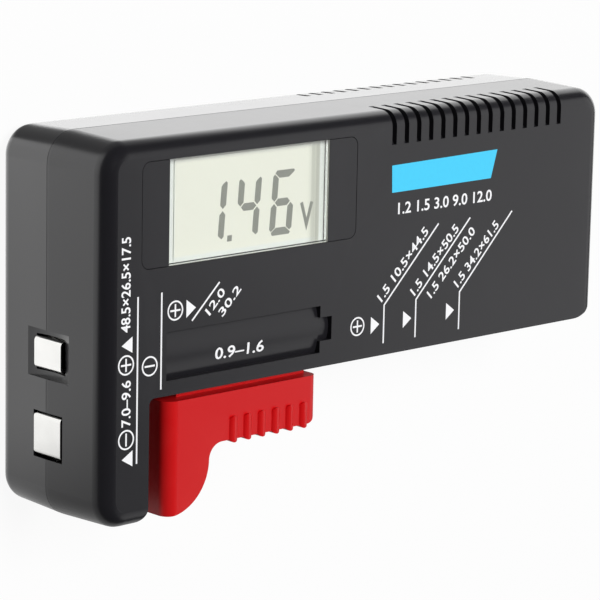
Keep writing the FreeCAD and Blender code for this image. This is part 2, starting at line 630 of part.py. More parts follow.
def build_snap_strips():
    """The two strips behind the windows in the left end, one for each snap of a nine-volt battery."""
    ends = [
        ("nine_volt_positive_contact", UPPER_SNAP, "upper_window_height", "upper_pad_recess", "strip_tail"),
        ("nine_volt_negative_contact", LOWER_SNAP, "lower_window_height", "lower_pad_recess", "strip_flange"),
    ]
    for name, middle, tall, recess, tail in ends:
        high, low = f"({middle} + {tall} / 2)", f"({middle} - {tall} / 2)"
        pad_x = f"({LEFT} + {recess})"
        build_strip(name, [
            (STRIP_BACK, f"{high} + {tail}"),
            (STRIP_BACK, f"{high} - strip_gap"),
            (pad_x, f"{high} - strip_gap"),
            (pad_x, f"{low} + strip_gap"),
            (STRIP_BACK, f"{low} + strip_gap"),
            (STRIP_BACK, f"{low} - strip_flange"),
        ], "strip_width", f"{SEAM} - strip_shift")


def build_cell_contacts():
    """The plate on the leg, the strip on the slider and the bracket that anchors the spring."""
    outer = f"({LEG} + plate_proud)"
    tab = f"({LEG} - wall - strip_bend)"
    plate = build_strip("cell_negative_contact", [
        (outer, PLATE_BOTTOM), (outer, PLATE_TOP), (tab, PLATE_TOP), (tab, f"{PLATE_TOP} + tab_length"),
    ], "plate_width")
    sides = new_sketch(plate, "XZ", PLATE_BOTTOM)
    for low, high in ((f"{SEAM} - plate_width", f"{SEAM} - tail_width / 2"),
                      (f"{SEAM} + tail_width / 2", f"{SEAM} + plate_width")):
        box_outline(sides, f"{tab} - wall", low, f"{outer} - strip_thick", high)
    pocket(plate, sides, f"{PLATE_TOP} - {PLATE_BOTTOM} + 2 * tab_length")

    face = f"({SLIDER_LEFT} - plate_proud + strip_thick)"
    strip = build_strip("slider_contact", [
        (face, PLATE_BOTTOM), (face, f"{FLANGE_TOP} + strip_fit"), (LUG_X, f"{FLANGE_TOP} + strip_fit"),
        (LUG_X, f"{HOOK_HEIGHT} + hook_margin"),
    ], "plate_width")
    punch(strip, "YZ", HOOK_HEIGHT, SEAM, LUG_X, "hook_hole", "4 * strip_thick")
    punch(strip, "XZ", SCREW_X, SEAM, FLANGE_TOP, "strip_screw_radius + strip_fit", "4 * strip_thick")

    anchor = build_strip("spring_anchor", [
        (f"{ANCHOR_X} - anchor_foot", f"{FLOOR} + strip_fit"), (ANCHOR_X, f"{FLOOR} + strip_fit"),
        (ANCHOR_X, f"{HOOK_HEIGHT} + hook_margin"),
    ], "anchor_width")
    punch(anchor, "YZ", HOOK_HEIGHT, SEAM, ANCHOR_X, "hook_hole", "4 * strip_thick")


def add_beads(body, under):
    """Raise one grip bead over the arm's front, lower edge and back, then repeat it along X."""
    first = f"({LEFT} + bead_start)"
    sink = "(bead_radius - bead_height)"
    front, back = f"({FRONT} - {sink})", f"({SLIDER_BACK} + bead_turn + bead_radius)"
    low, high = f"({under} + {sink})", f"({under} + bead_reach)"
    path = new_sketch(body, "YZ", first)
    inward = "(2 * bead_radius)"
    turns = [(f"{low} + {inward}", back), (low, back), (low, front), (high, front),
             (high, f"{front} - {inward}")]
    points = [Vector(value(y), value(z), 0) for y, z in turns]
    lines = [path.addGeometry(Part.LineSegment(a, b), False) for a, b in zip(points, points[1:])]
    for line, (y, z) in zip(lines, turns):
        pin_down(path, line, 1, y, z)
    pin_down(path, lines[-1], 2, *turns[-1])
    for before, after in zip(lines, lines[1:]):
        path.addConstraint(Sketcher.Constraint("Coincident", before, 2, after, 1))
    profile = new_sketch(body, "XZ", f"{low} + {inward}")
    ring(profile, first, back, "bead_radius")
    bead = body.newObject("PartDesign::AdditivePipe", "bead")
    bead.Profile = profile
    bead.Spine = (path, [])
    bead.Transition = "Right corner"
    doc.recompute()
    repeat(body, bead, "X", "bead_pitch", "bead_count")


def build_slider():
    """The red slider: arm, nose, ridge, neck and flange in one moulding, with six grip beads."""
    body = new_body("slider_arm")
    right = f"({SLIDER_LEFT} + slider_length)"
    leg_right = f"({SLIDER_LEFT} + slider_leg_width)"
    low = f"({BOTTOM} + slider_lift)"
    under = f"({SLIDER_TOP} - arm_height)"
    plan = new_sketch(body, "XZ", low)
    outline(plan, [
        (SLIDER_LEFT, SLIDER_BACK, "slider_nose_round"), (right, SLIDER_BACK, "arm_edge_round"),
        (right, FRONT, "arm_edge_round"), (SLIDER_LEFT, FRONT, "slider_nose_round"),
    ])
    pad(body, plan, f"{SLIDER_TOP} - {low}", reverse=True)
    hollow = new_sketch(body, "XY", SEAM)
    start = f"({leg_right} - leg_curve - wall / 2)"
    outline(hollow, [
        (start, low), (leg_right, low, "leg_curve"), (leg_right, under, "arm_hollow_round"),
        (right, under, "arm_end_round"), (right, f"{under} + arm_height / 2"),
        (f"{right} + wall", f"{under} + arm_height / 2"), (f"{right} + wall", f"{low} - wall"),
        (start, f"{low} - wall"),
    ])
    pocket(body, hollow, "2 * slider_depth", both=True)

    def block(bottom, top, left, end, z_low, z_high):
        base = new_sketch(body, "XZ", bottom)
        box_outline(base, left, z_low, end, z_high)
        pad(body, base, f"{top} - {bottom}", reverse=True)

    block(SLIDER_TOP, RIDGE_TOP, RIDGE_LEFT, RIDGE_RIGHT, "ridge_setback", f"{FRONT} - ridge_setback")
    block(RIDGE_TOP, FLANGE_UNDER, RIDGE_LEFT, RIDGE_RIGHT,
          f"{SEAM} - neck_width / 2", f"{SEAM} + neck_width / 2")
    flange = new_sketch(body, "XY", SEAM)
    outline(flange, [
        (RIDGE_LEFT, FLANGE_UNDER), (RIDGE_RIGHT, FLANGE_UNDER), (RIDGE_RIGHT, FLANGE_TOP),
        (RIDGE_LEFT, FLANGE_TOP, "strip_bend"),
    ])
    pad(body, flange, "flange_width", both=True)
    add_beads(body, under)
    seat = new_sketch(body, "XY", SEAM)
    sunk = "(strip_thick - plate_proud + strip_fit)"
    box_outline(seat, f"{SLIDER_LEFT} - wall", f"{PLATE_BOTTOM} - strip_fit",
                f"{SLIDER_LEFT} + {sunk}", f"{SLIDER_TOP} + running_gap")
    pocket(body, seat, "plate_width + 2 * plate_fit", both=True)
    pilot = new_sketch(body, "XZ", FLANGE_TOP)
    ring(pilot, SCREW_X, SEAM, "strip_screw_radius + strip_fit")
    pocket(body, pilot, "2 * strip_screw_length", both=True)


def build_spring():
    """The close-wound extension spring that pulls the slider back: a tube with a hook at each end."""
    start = f"({ANCHOR_X} + hook_length)"
    end = f"({LUG_X} - strip_thick - hook_length)"
    turns = [
        rod(name, start, HOOK_HEIGHT, SEAM, radius, f"{end} - {start}", "X")
        for name, radius in (("turns_outside", "spring_radius + spring_wire"),
                             ("turns_inside", "spring_radius - spring_wire"))
    ]
    parts = [cut_away("turns", *turns)]
    half, past = "(0.8 * spring_wire)", "(2 * spring_wire + strip_thick)"
    for name, low, high, arm, tip in (
            ("near", f"({ANCHOR_X} - {past})", f"({start} + 2 * spring_wire)", f"({start} + spring_wire)", 0),
            ("far", f"({end} - 2 * spring_wire)", f"({LUG_X} + {past})", f"({end} - spring_wire)", 1)):
        tip = f"({high} - {half})" if tip else f"({low} + {half})"
        parts += [
            box(f"hook_{name}", low, f"{HOOK_HEIGHT} - {half}", f"{SEAM} - {half}",
                high, f"{HOOK_HEIGHT} + {half}", f"{SEAM} + {half}"),
            box(f"hook_arm_{name}", f"{arm} - {half}", f"{HOOK_HEIGHT} - {half}", SEAM,
                f"{arm} + {half}", f"{HOOK_HEIGHT} + {half}", f"{SEAM} + spring_radius"),
            box(f"hook_tip_{name}", f"{tip} - {half}", f"{HOOK_HEIGHT} - hook_tip", f"{SEAM} - {half}",
                f"{tip} + {half}", HOOK_HEIGHT, f"{SEAM} + {half}"),
        ]
    join("return_spring", parts)


def screw(name, x, y, z, axis, head, shank):
    """A screw whose head starts at the point; head and shank are (radius, length)."""
    step = AXES.index(axis)
    past = [f"{spot} + {int(i == step)} * ({head[1]})" for i, spot in enumerate((x, y, z))]
    return join(name, [
        rod(f"{name}_head", x, y, z, head[0], head[1], axis),
        rod(f"{name}_shank", *past, shank[0], shank[1], axis),
    ])


def build_screws():
    """Case, board and strip screws."""
    case = [
        screw(f"case_screw{i}", x, y, "counterbore_depth - screw_head_height", "Z",
              ("screw_head_radius", "screw_head_height"),
              ("screw_radius", f"{SEAM} + screw_bite - counterbore_depth"))
        for i, (x, y) in enumerate(CASE_BOSSES)
    ]
    gather("case_screws", case)
    board = [
        screw(f"board_screw{i}", x, y, f"{BOARD_BACK} - board_head_height - board_fit", "Z",
              ("board_head_radius", "board_head_height"),
              ("board_screw_radius", "board_screw_length"))
        for i, (x, y) in enumerate(BOARD_POSTS)
    ]
    gather("board_screws", board)
    top = f"({FLANGE_TOP} + strip_thick + 2 * strip_fit)"
    join("contact_screw", [
        rod("contact_screw_head", SCREW_X, top, SEAM, "strip_screw_head", "board_head_height", "Y"),
        rod("contact_screw_shank", SCREW_X, f"{top} - strip_screw_length", SEAM, "strip_screw_radius",
            "strip_screw_length", "Y"),
    ])


def build_board():
    """The circuit board and the components on its back."""
    board = new_body("circuit_board")
    sheet_outline = new_sketch(board, "XY", BOARD_FRONT)
    box_outline(sheet_outline, BOARD_LEFT, BOARD_BOTTOM, f"{BOARD_LEFT} + board_width",
                BOARD_TOP, "strip_bend")
    pad(board, sheet_outline, "board_thick", reverse=True)
    holes = new_sketch(board, "XY", BOARD_FRONT)
    for x, y in BOARD_POSTS:
        ring(holes, x, y, "board_screw_radius + shank_fit")
    pocket(board, holes, "board_thick", both=False)

    def on_board(right, up):
        height = f"({BOARD_TOP} - {BOARD_BOTTOM})"
        return f"({BOARD_LEFT} + {right} * board_width)", f"({BOARD_BOTTOM} + {up} * {height})"

    x, y = on_board(0.5, 0.62)
    blob = doc.addObject("Part::Cone", "controller_chip")
    blob.Label = "controller_chip"
    place(blob, x, y, f"{BOARD_BACK} - blob_height")
    blob.setExpression("Radius1", bound("0.7 * blob_radius"))
    blob.setExpression("Radius2", bound("blob_radius"))
    blob.setExpression("Height", bound("blob_height"))
    x, y = on_board(0.84, 0.72)
    waist = rod("choke_core", x, y, f"{BOARD_BACK} - choke_height", "choke_waist", "choke_height")
    cheeks = [rod(f"choke_cheek{i}", x, y, z, "choke_radius", "choke_cheek")
              for i, z in enumerate((f"{BOARD_BACK} - choke_height", f"{BOARD_BACK} - choke_cheek"))]
    join("boost_inductor", [waist] + cheeks)
    x, y = on_board(0.84, 0.36)
    can = rod("electrolytic_capacitor", x, y, f"{BOARD_BACK} - can_height", "can_radius", "can_height")
    x, y = on_board(0.2, 0.7)
    base = box("trimmer_base", f"{x} - trimmer_side / 2", f"{y} - trimmer_side / 2",
               f"{BOARD_BACK} - trimmer_height", f"{x} + trimmer_side / 2", f"{y} + trimmer_side / 2",
               BOARD_BACK)
    rotor = rod("trimmer_rotor", x, y, f"{BOARD_BACK} - trimmer_height - rotor_height", "rotor_radius",
                "rotor_height + trimmer_height / 2")
    join("trimmer", [base, rotor])
    x, y = on_board(0.28, 0.14)
    chips = [
        box(f"chip{i}", f"{x} + {i} * chip_pitch", y, f"{BOARD_BACK} - chip_height",
            f"{x} + {i} * chip_pitch + chip_length", f"{y} + chip_width", BOARD_BACK)
        for i in range(int(value("chip_count")))
    ]
    gather("chip_components", chips)
    return can


AXES = "XYZ"
LEAD_SIDES = 8


def lead(name, start, *moves):
    """An insulated lead of eight sides that runs from a point by moves (axis, end coordinate)."""
    spot = list(start)
    parts = []
    for i, (axis, target) in enumerate(moves):
        here = AXES.index(axis)
        ends = sorted([(spot[here], i > 0), (target, i < len(moves) - 1)], key=lambda end: value(end[0]))
        low, high = (f"{end} {sign} 0.8 * {int(bent)} * lead_radius"
                     for sign, (end, bent) in zip("-+", ends))
        base = spot[:here] + [low] + spot[here + 1:]
        run = doc.addObject("Part::Prism", f"{name}_run{i}")
        run.Polygon = LEAD_SIDES
        run.Placement = FreeCAD.Placement(Vector(), FreeCAD.Rotation(*TURNS[axis]))
        place(run, *base)
        run.setExpression("Circumradius", bound("lead_radius"))
        run.setExpression("Height", bound(f"({high}) - ({low})"))
        parts.append(run)
        spot[here] = target
    join(name, parts)


def build_leads():
    """The four leads from the contacts to the back of the board."""
    landing = f"({BOARD_BACK} - lead_gap)"
    inner = f"({STRIP_BACK} + strip_thick + lead_gap)"
    beside = f"({BOARD_LEFT} + 2 * lead_stand)"
    lead("nine_volt_positive_lead",
         (inner, f"{UPPER_SNAP} + upper_window_height / 2 + strip_tail / 2", f"{SEAM} + strip_width / 3"),
         ("X", f"({BOARD_LEFT} + lead_radius + 2 * lead_gap)"), ("Y", f"({BOARD_BOTTOM} + 2 * lead_radius)"),
         ("Z", landing))
    run = f"({inner} + 3 * lead_radius)"
    lead("nine_volt_negative_lead",
         (inner, f"{LOWER_SNAP} + lower_window_height / 2 + lead_radius", f"{SEAM} - strip_width / 3"),
         ("X", run), ("Y", f"({BOARD_BOTTOM} + 3 * lead_stand)"), ("X", beside), ("Z", landing))
    run = f"({LEG} - wall - strip_bend - strip_thick - lead_radius - lead_gap)"
    lead("cell_negative_lead", (run, f"{PLATE_TOP} + tab_length / 3", SEAM),
         ("Y", f"({BOARD_BOTTOM} + 4 * lead_stand)"), ("X", beside), ("Z", landing))
    lead("cell_positive_lead",
         (f"({ANCHOR_X} - strip_thick - lead_radius - lead_gap)", f"{FLOOR} + anchor_foot",
          f"{SEAM} + anchor_width / 6"),
         ("Y", f"({BOARD_BOTTOM} + post_inset + board_head_radius + 2 * lead_radius)"), ("Z", landing))


build_shell("rear")
build_front_shell()
build_display()
build_snap_strips()
build_cell_contacts()
build_slider()
build_spring()
build_screws()
build_board()
build_leads()
doc.recompute()

NODES = [
    "front_shell", "rear_shell", "display_bezel", "display_window", "lcd_polarizer", "lcd_glass",
    "lcd_reflector", "zebra_connector", "lcd_holder", "circuit_board", "controller_chip",
    "boost_inductor", "electrolytic_capacitor", "trimmer", "chip_components",
    "nine_volt_positive_contact", "nine_volt_negative_contact", "cell_negative_contact",
    "spring_anchor", "nine_volt_positive_lead", "nine_volt_negative_lead", "cell_negative_lead",
    "cell_positive_lead", "case_screws", "board_screws", "slider_arm", "slider_contact",
    "contact_screw", "return_spring",
]

for item in doc.Objects:
    if {"Invalid", "Error"} & set(item.State):
        raise RuntimeError(f"{item.Name} doesn't recompute: {item.getStatusString()}")
    if item.TypeId == "Sketcher::SketchObject" and not item.FullyConstrained:
        raise RuntimeError(f"{item.Name} isn't fully constrained")

os.makedirs("parts", exist_ok=True)
for node in NODES:
    shape = doc.getObjectsByLabel(node)[0].Shape
    if shape.isNull() or not shape.isValid():
        raise RuntimeError(f"{node} has no valid shape")
    shape.exportStep(f"parts/{node}.step")
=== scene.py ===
"""Looks of a battery tester: moulded housing, sprung slider, display, nickel contacts and face printing."""

import logging
import math
from collections import Counter
from dataclasses import dataclass, field, replace
from enum import Enum
from functools import cache
from typing import Any, Sequence

import bmesh
import bpy
from mathutils import Matrix, Vector
from mathutils.bvhtree import BVHTree

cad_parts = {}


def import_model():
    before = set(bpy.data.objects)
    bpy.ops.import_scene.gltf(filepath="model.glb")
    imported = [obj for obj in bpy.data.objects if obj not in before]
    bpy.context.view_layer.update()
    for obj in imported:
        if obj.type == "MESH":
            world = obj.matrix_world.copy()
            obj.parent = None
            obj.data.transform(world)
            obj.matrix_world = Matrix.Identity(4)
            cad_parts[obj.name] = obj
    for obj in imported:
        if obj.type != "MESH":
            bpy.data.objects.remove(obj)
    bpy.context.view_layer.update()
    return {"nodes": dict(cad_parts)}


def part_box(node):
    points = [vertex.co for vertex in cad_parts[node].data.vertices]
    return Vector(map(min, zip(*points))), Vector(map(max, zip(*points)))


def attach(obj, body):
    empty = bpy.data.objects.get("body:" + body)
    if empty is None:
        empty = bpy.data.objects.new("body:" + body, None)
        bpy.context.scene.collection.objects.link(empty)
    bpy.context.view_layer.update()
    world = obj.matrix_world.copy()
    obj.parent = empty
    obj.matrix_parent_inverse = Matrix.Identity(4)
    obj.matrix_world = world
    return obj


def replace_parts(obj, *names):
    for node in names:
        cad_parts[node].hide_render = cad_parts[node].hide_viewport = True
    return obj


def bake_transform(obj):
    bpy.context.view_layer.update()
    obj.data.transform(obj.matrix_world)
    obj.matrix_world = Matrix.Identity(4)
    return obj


log = logging.getLogger("battery_tester")
MM = 0.001
TOUCH = 1e-6
Point = tuple[float, float]
Corner = tuple[float, float, float]
Colour = tuple[float, float, float]
Tree = bpy.types.NodeTree
Mesh = bpy.types.Mesh
Thing = bpy.types.Object
Node = bpy.types.Node
Material = bpy.types.Material
Form = bmesh.types.BMesh


class Body(Enum):
    """The bodies a piece can ride on."""

    HOUSING = "body"
    SLIDER = "slider"


def srgb(*levels: int) -> Colour:
    """Turn a display colour of 0 to 255 into scene-linear values."""
    shares = (level / 255.0 for level in levels)
    return tuple(part / 12.92 if part <= 0.04045 else ((part + 0.055) / 1.055) ** 2.4 for part in shares)


# ---- Nodes ----


def feed(tree: Tree, inputs: Any, values: dict[Any, Any]) -> None:
    """Give a node's inputs, by name or number, an output socket or a plain value each."""
    for label, value in values.items():
        if isinstance(value, bpy.types.NodeSocket):
            tree.links.new(value, inputs[label])
        else:
            inputs[label].default_value = value


def add_node(tree: Tree, kind: str, feeds: dict[Any, Any] | None = None, **settings: Any) -> Any:
    """Add a node.

    Args:
        tree: the tree it goes in.
        kind: the node's type.
        feeds: for each of its inputs, an output socket or a value.
        settings: the node's own settings.

    Returns:
        The node's outputs.
    """
    node = tree.nodes.new(kind)
    for label, value in settings.items():
        setattr(node, label, value)
    feed(tree, node.inputs, feeds or {})
    return node.outputs


def calculate(tree: Tree, operation: str, result: Any, *others: Any) -> Any:
    """Join sockets or numbers by an operation, from left to right, with Math nodes."""
    for other in others:
        result = add_node(tree, "ShaderNodeMath", {0: result, 1: other}, operation=operation)[0]
    return result


def times(tree: Tree, *factors: Any) -> Any:
    """Multiply sockets or numbers."""
    return calculate(tree, "MULTIPLY", *factors)


def noise(tree: Tree, vector: Any, scale: Any, detail: float = 3.0) -> Any:
    """Return a Noise Texture's value on a vector."""
    return add_node(tree, "ShaderNodeTexNoise", {"Vector": vector, "Scale": scale, "Detail": detail})["Fac"]


def object_place(tree: Tree) -> Any:
    """Return the object's own coordinates."""
    return add_node(tree, "ShaderNodeTexCoord")["Object"]


def stretched(tree: Tree, vector: Any, scale: Corner) -> Any:
    """Return a vector multiplied by a scale along each axis."""
    return add_node(tree, "ShaderNodeMapping", {"Vector": vector, "Scale": scale})["Vector"]


def mix_colours(tree: Tree, first: Any, second: Any, mask: Any) -> Any:
    """Mix two colours, each a socket or a plain colour, by a mask."""
    low, high = ((*colour, 1.0) if isinstance(colour, tuple) else colour for colour in (first, second))
    return add_node(tree, "ShaderNodeMix", {0: mask, 6: low, 7: high}, data_type="RGBA")[2]


def bump(tree: Tree, height: Any, strength: Any, distance: float) -> Any:
    """Turn a height into a normal; the distance is in metres."""
    return add_node(tree, "ShaderNodeBump", {"Height": height, "Strength": strength, "Distance": distance})[0]


def ramp(
    tree: Tree, value: Any, start: float = 0.0, end: float = 1.0, low: float = 0.0, high: float = 1.0,
    kind: str = "SMOOTHSTEP",
) -> Any:
    """Map a value from start and end, which may lie below start, to low and high, and hold it there."""
    feeds = {"Value": value, "From Min": start, "From Max": end, "To Min": low, "To Max": high}
    return add_node(tree, "ShaderNodeMapRange", feeds, interpolation_type=kind)["Result"]


def show_mix(tree: Tree, factor: Any, first: Any, second: Any) -> None:
    """Show a mix of two shaders on the surface."""
    mixed = add_node(tree, "ShaderNodeMixShader", {"Fac": factor, 1: first, 2: second})
    tree.links.new(mixed["Shader"], tree.nodes["Material Output"].inputs["Surface"])


@dataclass(frozen=True)
class Grain:
    """The shared group of every moulding: spark texture, cloudy gloss and rubbed edges."""

    name: str = "moulded_grain"
    depth: float = 0.00002
    cloud_scale: float = 90.0
    cloud_detail: float = 4.0
    patch_scale: float = 260.0
    edge_start: float = 0.53
    edge_end: float = 0.62

    @cache
    def group(self) -> Tree:
        """Build the group once, with its inputs and their defaults."""
        tree = bpy.data.node_groups.new(self.name, "ShaderNodeTree")
        face = tree.interface
        for label, default in {
            "Grain Scale": 3000.0, "Grain Height": 0.3, "Roughness": 0.4, "Cloud": 0.06, "Rub": 0.05,
        }.items():
            face.new_socket(label, in_out="INPUT", socket_type="NodeSocketFloat").default_value = default
        for label, kind in (("Normal", "Vector"), ("Roughness", "Float"), ("Rub Mask", "Float")):
            face.new_socket(label, in_out="OUTPUT", socket_type=f"NodeSocket{kind}")
        source, place = add_node(tree, "NodeGroupInput"), object_place(tree)
        cloud = calculate(tree, "SUBTRACT", noise(tree, place, self.cloud_scale, self.cloud_detail), 0.5)
        swing = times(tree, cloud, source["Cloud"])
        pointed = add_node(tree, "ShaderNodeNewGeometry")["Pointiness"]
        edge = ramp(tree, pointed, self.edge_start, self.edge_end, kind="LINEAR")
        patches = times(tree, edge, noise(tree, place, self.patch_scale))
        spark = noise(tree, place, source["Grain Scale"])
        add_node(tree, "NodeGroupOutput", {
            "Normal": bump(tree, spark, source["Grain Height"], self.depth),
            "Roughness": calculate(tree, "ADD", source["Roughness"], swing),
            "Rub Mask": times(tree, patches, source["Rub"]),
        })
        return tree


# ---- Finishes ----


@dataclass(frozen=True)
class Finish:
    """A surface's finish; each kind fills in its own shader."""

    name: str

    def fill(self, tree: Tree, shader: Node) -> None:
        """Fill in the Principled shader of the material's tree."""
        raise NotImplementedError


@cache
def material_of(finish: Finish) -> Material:
    """Return a finish's material, built once."""
    material = bpy.data.materials.new(finish.name)
    material.use_nodes = True
    finish.fill(material.node_tree, material.node_tree.nodes["Principled BSDF"])
    return material


@dataclass(frozen=True)
class MouldedPlastic(Finish):
    """A moulded plastic with fine spark grain, cloudy gloss and rubbed edges."""

    colour: Colour
    rubbed: Colour
    roughness: float = 0.4
    grain_scale: float = 3000.0
    grain_height: float = 0.3
    rub: float = 0.15
    coat: float = 0.0
    coat_roughness: float = 0.3
    specular: float = 0.5
    bend: float = 1.5

    def fill(self, tree: Tree, shader: Node) -> None:
        """Take grain, gloss and rubbing from the shared group."""
        grain = add_node(tree, "ShaderNodeGroup", {
            "Grain Scale": self.grain_scale, "Grain Height": self.grain_height,
            "Roughness": self.roughness, "Rub": self.rub,
        }, node_tree=Grain().group())
        feed(tree, shader.inputs, {
            "Base Color": mix_colours(tree, self.colour, self.rubbed, grain["Rub Mask"]),
            "Roughness": grain["Roughness"],
            "Normal": grain["Normal"],
            "Coat Weight": self.coat,
            "Coat Roughness": self.coat_roughness,
            "Specular IOR Level": self.specular,
            "IOR": self.bend,
            "Coat IOR": self.bend,
        })


@dataclass(frozen=True)
class PlatedMetal(Finish):
    """A plated sheet or wire with drawn streaks along one axis, and light stains."""

    colour: Colour
    roughness: float = 0.25
    stretch: Corner = (1.0, 1.0, 30.0)
    streak_scale: float = 900.0
    streak_depth: float = 0.000004
    streak_strength: float = 0.4
    smoother: float = 0.07
    rougher: float = 0.1
    stain_scale: float = 240.0
    stain: float = 0.82

    def fill(self, tree: Tree, shader: Node) -> None:
        """Streak the gloss and stain the colour."""
        place = object_place(tree)
        streak = noise(tree, stretched(tree, place, self.stretch), self.streak_scale)
        low, high = self.roughness - self.smoother, self.roughness + self.rougher
        stained = tuple(level * self.stain for level in self.colour)
        feed(tree, shader.inputs, {
            "Base Color": mix_colours(tree, self.colour, stained, noise(tree, place, self.stain_scale)),
            "Roughness": ramp(tree, streak, low=low, high=high, kind="LINEAR"),
            "Normal": bump(tree, streak, self.streak_strength, self.streak_depth),
            "Metallic": 1.0,
        })


@dataclass(frozen=True)
class Ink(Finish):
    """A printed ink film, slightly uneven in tone."""

    colour: Colour
    roughness: float = 0.5
    mottle_scale: float = 1500.0
    mottle: float = 0.93

    def fill(self, tree: Tree, shader: Node) -> None:
        """Mottle the ink's tone."""
        darker = tuple(level * self.mottle for level in self.colour)
        tone = mix_colours(tree, self.colour, darker, noise(tree, object_place(tree), self.mottle_scale))
        feed(tree, shader.inputs, {"Base Color": tone, "Roughness": self.roughness})


@dataclass(frozen=True)
class ClearCover(Finish):
    """A clear cover that lets light through to what lies behind it."""

    tint: Colour
    roughness: float = 0.03
    bend: float = 1.46

    def fill(self, tree: Tree, shader: Node) -> None:
        """Make it clear for shadow and diffuse rays, and a thin gloss for the others."""
        feed(tree, shader.inputs, {
            "Base Color": (*self.tint, 1.0), "Roughness": self.roughness, "Transmission Weight": 1.0,
            "IOR": self.bend,
        })
        path = add_node(tree, "ShaderNodeLightPath")
        either = calculate(tree, "MAXIMUM", path["Is Shadow Ray"], path["Is Diffuse Ray"])
        clear = add_node(tree, "ShaderNodeBsdfTransparent")["BSDF"]
        show_mix(tree, either, shader.outputs["BSDF"], clear)


@dataclass(frozen=True)
class DisplayFilm(Finish):
    """The display's pale film with its reflecting border, and painted shade: a streaked grey band beside the
    right border and a shade under the frame at the top.

    Its edges are in metres on Object coordinates.
    """

    ground: Colour
    border: Colour
    shade_band: Colour
    shade: Colour
    left: float
    right: float
    bottom: float
    top: float
    roughness: float = 0.55
    line_scale: float = 2600.0
    line_stretch: Corner = (1.0, 0.01, 0.01)
    line_level: float = 0.35
    shade_band_width: float = 0.0022
    shade_width: float = 0.0011
    shade_level: float = 0.8
    left_fade: Point = (0.0003, -0.0002)
    bottom_fade: Point = (0.0005, -0.0001)
    right_fade: Point = (0.0006, 0.0009)

    def fill(self, tree: Tree, shader: Node) -> None:
        """Lay the borders, the lined band of painted shade and the painted shade at the top over the ground.
        """
        place = object_place(tree)
        split = add_node(tree, "ShaderNodeSeparateXYZ", {0: place})
        lines = noise(tree, stretched(tree, place, self.line_stretch), self.line_scale, 2.0)
        # A band of painted shade, darker towards the right edge and streaked by the lines.
        fade = ramp(tree, split["X"], self.right - self.shade_band_width, self.right)
        band_shade_mask = times(tree, fade, calculate(tree, "ADD", lines, self.line_level))
        # Painted shade under the frame's top edge.
        top_shade_mask = ramp(tree, split["Y"], self.top - self.shade_width, self.top)

        def beside(axis: str, edge: float, fade: Point) -> Any:
            """Return a mask that fades in between two offsets from an edge."""
            return ramp(tree, split[axis], edge + fade[0], edge + fade[1])

        colour: Any = self.ground
        for layer, mask in (
            (self.border, beside("X", self.left, self.left_fade)),
            (self.border, beside("Y", self.bottom, self.bottom_fade)),
            (self.shade_band, calculate(tree, "MINIMUM", band_shade_mask, 1.0)),
            (self.border, beside("X", self.right, self.right_fade)),
            (self.shade, times(tree, top_shade_mask, self.shade_level)),
        ):
            colour = mix_colours(tree, colour, layer, mask)
        feed(tree, shader.inputs, {"Base Color": colour, "Roughness": self.roughness})


@dataclass(frozen=True)
class FloorFinish(Finish):
    """A pale floor that keeps a soft shadow, and glows to the camera and in a gloss.

    A gloss sees it dimmer in front of the tester and brighter behind it, with a dark flag that widens behind
    one corner: painted shade and painted highlight in the tester's reflections. Places are in metres; ramps
    hold their start, end, low and high.
    """

    tone: float = 0.74
    roughness: float = 0.9
    seen: float = 0.93
    mirrored: float = 0.8
    corner: Point = (-0.053, 0.027)
    nearest: float = 0.0005
    # Painted shade and highlight in reflections: a dark flag behind the corner, dimming in front and a
    # brighter glow behind.
    dark_reflection_sides: tuple[Point, Point] = ((-0.8, -0.45), (1.5, 0.9))
    dark_reflection_start: Sequence[float] = (0.0, 0.003, 0.0, 0.93)
    middle: Sequence[float] = (-0.004, 0.035, 1.2, 1.48)
    front: Sequence[float] = (-0.042, -0.014, 0.3, 1.0)

    def mirrored_level(self, tree: Tree) -> Any:
        """Return how bright the floor looks in a gloss: painted shade and painted highlight for the tester's
        reflections.
        """
        split = add_node(tree, "ShaderNodeSeparateXYZ", {0: object_place(tree)})
        across = calculate(tree, "ADD", split["X"], -self.corner[0])
        behind = calculate(tree, "SUBTRACT", split["Y"], self.corner[1])
        slope = calculate(tree, "DIVIDE", across, calculate(tree, "MAXIMUM", behind, self.nearest))
        sides = [ramp(tree, slope, *side) for side in self.dark_reflection_sides]
        dark_reflection_flag = times(tree, *sides, ramp(tree, behind, *self.dark_reflection_start))
        levels = [ramp(tree, split["Y"], *reach) for reach in (self.middle, self.front)]
        return times(tree, *levels, calculate(tree, "SUBTRACT", 1.0, dark_reflection_flag))

    def fill(self, tree: Tree, shader: Node) -> None:
        """Glow by the kind of ray, and take light and shadow for the others."""
        feed(tree, shader.inputs, {
            "Base Color": (self.tone, self.tone, self.tone, 1.0), "Roughness": self.roughness,
        })
        path = add_node(tree, "ShaderNodeLightPath")
        camera = path["Is Camera Ray"]
        seen = calculate(tree, "MAXIMUM", camera, path["Is Glossy Ray"], path["Is Transmission Ray"])
        shine = times(tree, calculate(tree, "SUBTRACT", seen, camera), self.mirrored)
        others = calculate(tree, "SUBTRACT", 1.0, camera)
        dimmed = times(tree, self.mirrored_level(tree), others)
        glow = add_node(tree, "ShaderNodeEmission", {"Strength": calculate(tree, "ADD", dimmed, camera)})
        factor = calculate(tree, "ADD", shine, times(tree, camera, self.seen))
        show_mix(tree, factor, shader.outputs["BSDF"], glow["Emission"])


